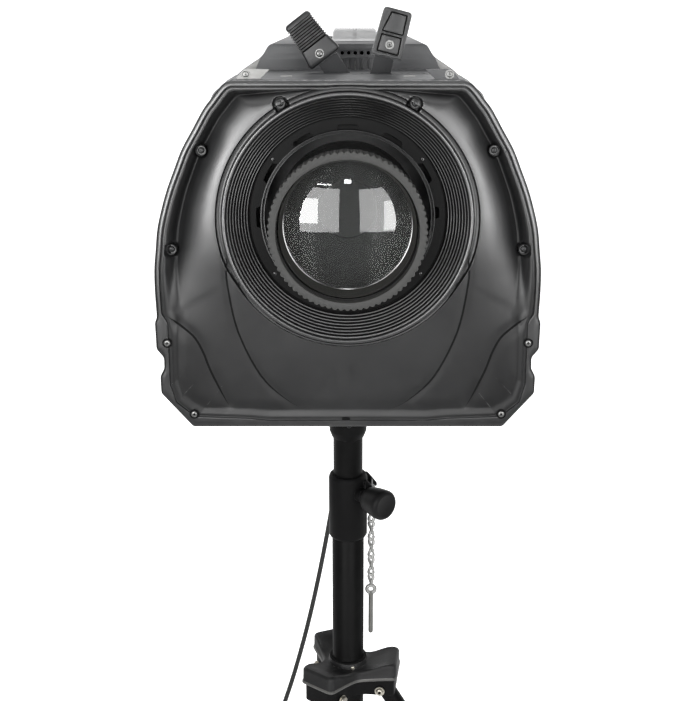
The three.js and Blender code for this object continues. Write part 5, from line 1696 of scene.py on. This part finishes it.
def add_hub():
    def level(shrink, z, radius=None, rise=0.0):
        """The outline at a height, which rises towards the lobes' ends; or a circle of a radius."""
        loop = []
        for p, base in zip(hub_outline(shrink), hub_outline(0)):
            if radius is not None:
                p = base.normalized() * radius
            loop.append((p.x, p.y, z + rise * ease((base.length - 30) / 35)))
        return loop

    def between(share, z, rise):
        """A share of the way in from the outline to the circle round the tube."""
        loop = []
        for p in hub_outline(3):
            q = p.normalized() * 25.5
            here = p.lerp(q, share)
            loop.append((here.x, here.y, z + rise * ease((here.length - 26) / 38)))
        return loop

    rows = [level(2.6, 559.5), level(2.6, 579, rise=4), level(-0.5, 579, rise=4),
            level(-0.9, 579.6, rise=4),
            level(-0.8, 581.6, rise=4), level(0, 582.6, rise=4), level(0.3, 589, rise=12),
            level(1.0, 591, rise=12), level(2.6, 592.2, rise=12), between(0.02, 592.3, 12),
            between(0.3, 592.6, 12), between(0.6, 593, 10), between(0.9, 593.6, 5),
            level(0, 594.2, radius=24.9), level(0, 599, radius=24.5), level(0, 600, radius=23.6),
            level(0, 600, radius=20.2), level(0, 559, radius=20.2), level(0, 559, radius=24.4),
            level(0, 588.6, radius=24.4), level(4.6, 588.6, rise=8), level(4.6, 559.5)]
    hub = loft(rows, ring=True)
    count = len(rows[0])
    # Rows 2 to 4, the lip, take the painted highlight; rows 0, 1 and 19 to 21 take the stand's
    # black paint.
    for row, tone in ((2, 2), (3, 2), (4, 2), (0, 4), (1, 4), (19, 4), (20, 4), (21, 4)):
        hub.finishes[row * count:(row + 1) * count] = [tone] * count
    hub.add(lathe([(20.2, 600.2), (23.2, 600.2), (23.6, 601), (23.2, 601.8), (20.2, 602)], axis="Z",
                  segments=60,
                  finish=3))
    hub.add(screw_head(6, -24.7, 595.8, 2.6, 1, dome=0.9, recess="cross", socket_finish=3))
    def hexed(r, turn, i):
        return hexagon(r, turn) * 0.94 if 1 < i < 4 else r

    for azimuth in LEGS.values():
        bolts = screw_head(PIVOT_X, -25.4, PIVOT_Z, 5.0, 1, dome=3.0, washer=6.2, socket_finish=3)
        nut = lathe([(0, 4.6), (4.6, 4.4), (5.4, 3.8), (5.4, 0.8), (6.6, 0.7), (6.6, 0)],
                    segments=36, ring=False, finish=1, radius=hexed)
        bolts.add(nut.moved(PIVOT_X, 25.0, PIVOT_Z))
        hub.add(bolts.turned("Z", azimuth))
    make("leg_hub_casting", hub, "stand", [HUB_CAST, PALE_BOLT, HUB_LIP_PAINTED_HIGHLIGHT, DARK_HOLE, STAND_PAINT],
         origin=STAND, crease=40, replaces=["leg_hub"])


def add_legs():
    for letter, azimuth in LEGS.items():
        leg = rod(LEG_TOP - LEG_DOWN * 9, LEG_END, 11, count=32, chamfer=0.8)
        for down in (240, 300):
            ring_low = LEG_TOP + LEG_DOWN * down
            leg.add(rod(ring_low, ring_low + LEG_DOWN * 5, 11.5, count=32, chamfer=0.7, finish=1))
        leg.add(rod((PIVOT_X, -20, PIVOT_Z), (PIVOT_X, 20, PIVOT_Z), 7.2, count=24, chamfer=0.8,
                    finish=1))
        x, z = BRACE_PIN.x, BRACE_PIN.z
        leg.add(rod((x, 8, z), (x, 19.2, z), 3, count=16, chamfer=0.3, finish=1))
        bolt = screw_head(0, 0, 0, 5.6, 1, dome=1.4, washer=6.6).turned(*TO_REAR)
        leg.add(bolt.moved(x, 17.3, z))
        slope = degrees(atan2(-LEG_DOWN.z, LEG_DOWN.x))
        leg.add(block((30, 6, 13), bevel=1.6).turned("Y", slope).moved(x, 8.4, z))
        make(f"leg_{letter}_tube", leg.turned("Z", azimuth), f"leg_{letter}",
             [TUBE_PAINT, DARK_STEEL],
             origin=STAND, replaces=[f"leg_{letter}"])

        tread = [(0, 0), (12.6, 0), (13.2, 0.8), (14.6, 0.8), (15.6, 0.2), (16.4, 1.4), (17, 3),
                 (17, 7), (16.4, 7.6),
                 (16.4, 8.6), (17, 9.2), (17, 13), (16.4, 13.6), (16.4, 14.6), (17, 15.2), (17,
                         20), (16.8, 24),
                 (15.9, 32), (15.3, 38), (14.6, 41), (13.2, 42), (0, 42)]
        shoe = lathe(tread, axis="Z", segments=48, ring=False).moved(LEG_END.x, 0, 0)
        cuff = LEG_END - LEG_DOWN * 34
        shoe.add(rod(cuff, cuff - LEG_DOWN * 20, 13.4, count=32, chamfer=1.4))
        make(f"foot_{letter}_shoe", shoe.turned("Z", azimuth), f"leg_{letter}", [RUBBER],
             origin=STAND,
             replaces=[f"foot_{letter}"])

        run = BRACE_PIN - SPREADER_PIN
        length = hypot(run.x, run.z)
        ends = [polar(7.9, a) for a in range(180, 361, 15)]
        outline = ends + [(-u, length - v) for u, v in ends]
        strap = plate(outline, -2, 1.2, holes=[circle(3.5, 16, 0, length), circle(3.1, 16)],
                      bevel=0.5)
        for side in (-1, 1):
            strap.add(block((1.2, 2.4, length - 26), (side * 7.2, 1.2, length / 2), bevel=0.4))
        strap.add(rod((0, -3.4, 0), (0, 3.2, 0), 5.2, count=24, chamfer=1.1, finish=1))
        strap.turned("Y", degrees(atan2(run.x, run.z)))
        strap.moved(SPREADER_PIN.x, 13.8, SPREADER_PIN.z)
        make(f"brace_{letter}_strap", strap.turned("Z", azimuth), f"brace_{letter}",
             [STAND_PAINT,
              DARK_STEEL], origin=STAND, replaces=[f"brace_{letter}"])


def add_spreader():
    sleeve = lathe([(20.1, 100), (25.8, 100), (27, 101.2), (27, 106), (26, 107), (26, 133),
                    (27, 134), (27, 138.8),
                    (25.8, 140), (20.1, 140)], axis="Z", segments=60)
    for azimuth in LEGS.values():
        lug = plate(rounded([(20, 107), (45, 107, 9), (46, 133, 9), (20, 133)], 1.5), 3.0, 11.0,
                    bevel=0.8)
        lug.add(rod((38, 2.0, 120), (38, 3.4, 120), 5, count=20, chamfer=0.5, finish=1))
        sleeve.add(lug.turned("Z", azimuth))
    sleeve.add(screw_head(0, -27.6, 120, 3.4, 1, dome=1.2).turned("Z", 60))
    make("spreader_sleeve", sleeve, "spreader", [STAND_PAINT, DARK_STEEL], origin=STAND,
         replaces=["spreader_collar"])


TUBE_PAINT = finish("stand_tube_coat", 0.0034, 0.46, specular=0.05, grain=0.15,
                    grain_scale=1300, wear=0.0006, wear_colour=0.05, mottle=0.3)
KNOB_PLASTIC = finish("knob_plastic", (0.0065, 0.0065, 0.0067), 0.5, specular=0.1, grain=0.2,
                      grain_scale=800,
                      wear=0.0008, wear_colour=0.04)
HUB_CAST = finish("hub_casting", (0.0085, 0.0085, 0.0087), 0.5, specular=0.18, grain=0.4,
                  grain_scale=700,
                  mottle=0.35, patch=30, wear=0.0016, wear_colour=(0.06, 0.06, 0.057), dust=0.02)
# Painted highlight along the hub's lip, in a paler, uneven tone.
HUB_LIP_PAINTED_HIGHLIGHT = finish("hub_lip_painted_highlight", (0.05, 0.049, 0.046), 0.45, specular=0.4, grain=0.4, mottle=0.6,
                  patch=50)
PALE_BOLT = finish("pale_bolt", (0.38, 0.36, 0.31), 0.4, metal=1.0, mottle=0.2, patch=90, grain=0.2)
ZINC_BRIGHT = finish("zinc_chain", (0.25, 0.25, 0.243), 0.45, metal=0.7, mottle=0.2, patch=90,
                     spread=0.1,
                     grain=0.3)
PIN_STEEL = finish("keeper_pin_steel", (0.13, 0.13, 0.122), 0.55, metal=0.6, mottle=0.12, patch=40,
                   grain=0.3)
MARK_GREY = finish("scale_marks", (0.35, 0.35, 0.34), 0.6, grain=0.1)
add_yoke()
add_socket()
add_tilt_knobs()
add_column()
add_collar()
add_keeper()
add_hub()
add_legs()
add_spreader()


# ------------------------------------------------------------------ carried-over CAD nodes
CARRIED = {
    "heatsink": ALUMINIUM, "led_module": ALUMINIUM, "condenser_tube": BLACK_ANODISED,
    "power_supply": ALUMINIUM, "iris_ring": BLACK_ANODISED, "gate_plate": BLACK_ANODISED,
    "cooling_fan": RUBBER, "retaining_ring": TUBE_BLACK,
}


def soften(node):
    """Rounds a CAD node's edges with modifiers, which leave its own mesh alone."""
    weld = node.modifiers.new("weld", "WELD")
    weld.merge_threshold = 2e-5
    bevel = node.modifiers.new("bevel", "BEVEL")
    bevel.width = 0.0005
    bevel.segments = 2
    bevel.limit_method = "ANGLE"
    bevel.angle_limit = radians(35)
    bevel.harden_normals = True


for node_name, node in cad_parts.items():
    if node.hide_render:
        continue
    paint = CARRIED.get(node_name, STAND_PAINT)
    for material_slot in node.material_slots:
        material_slot.material = paint
    soften(node)
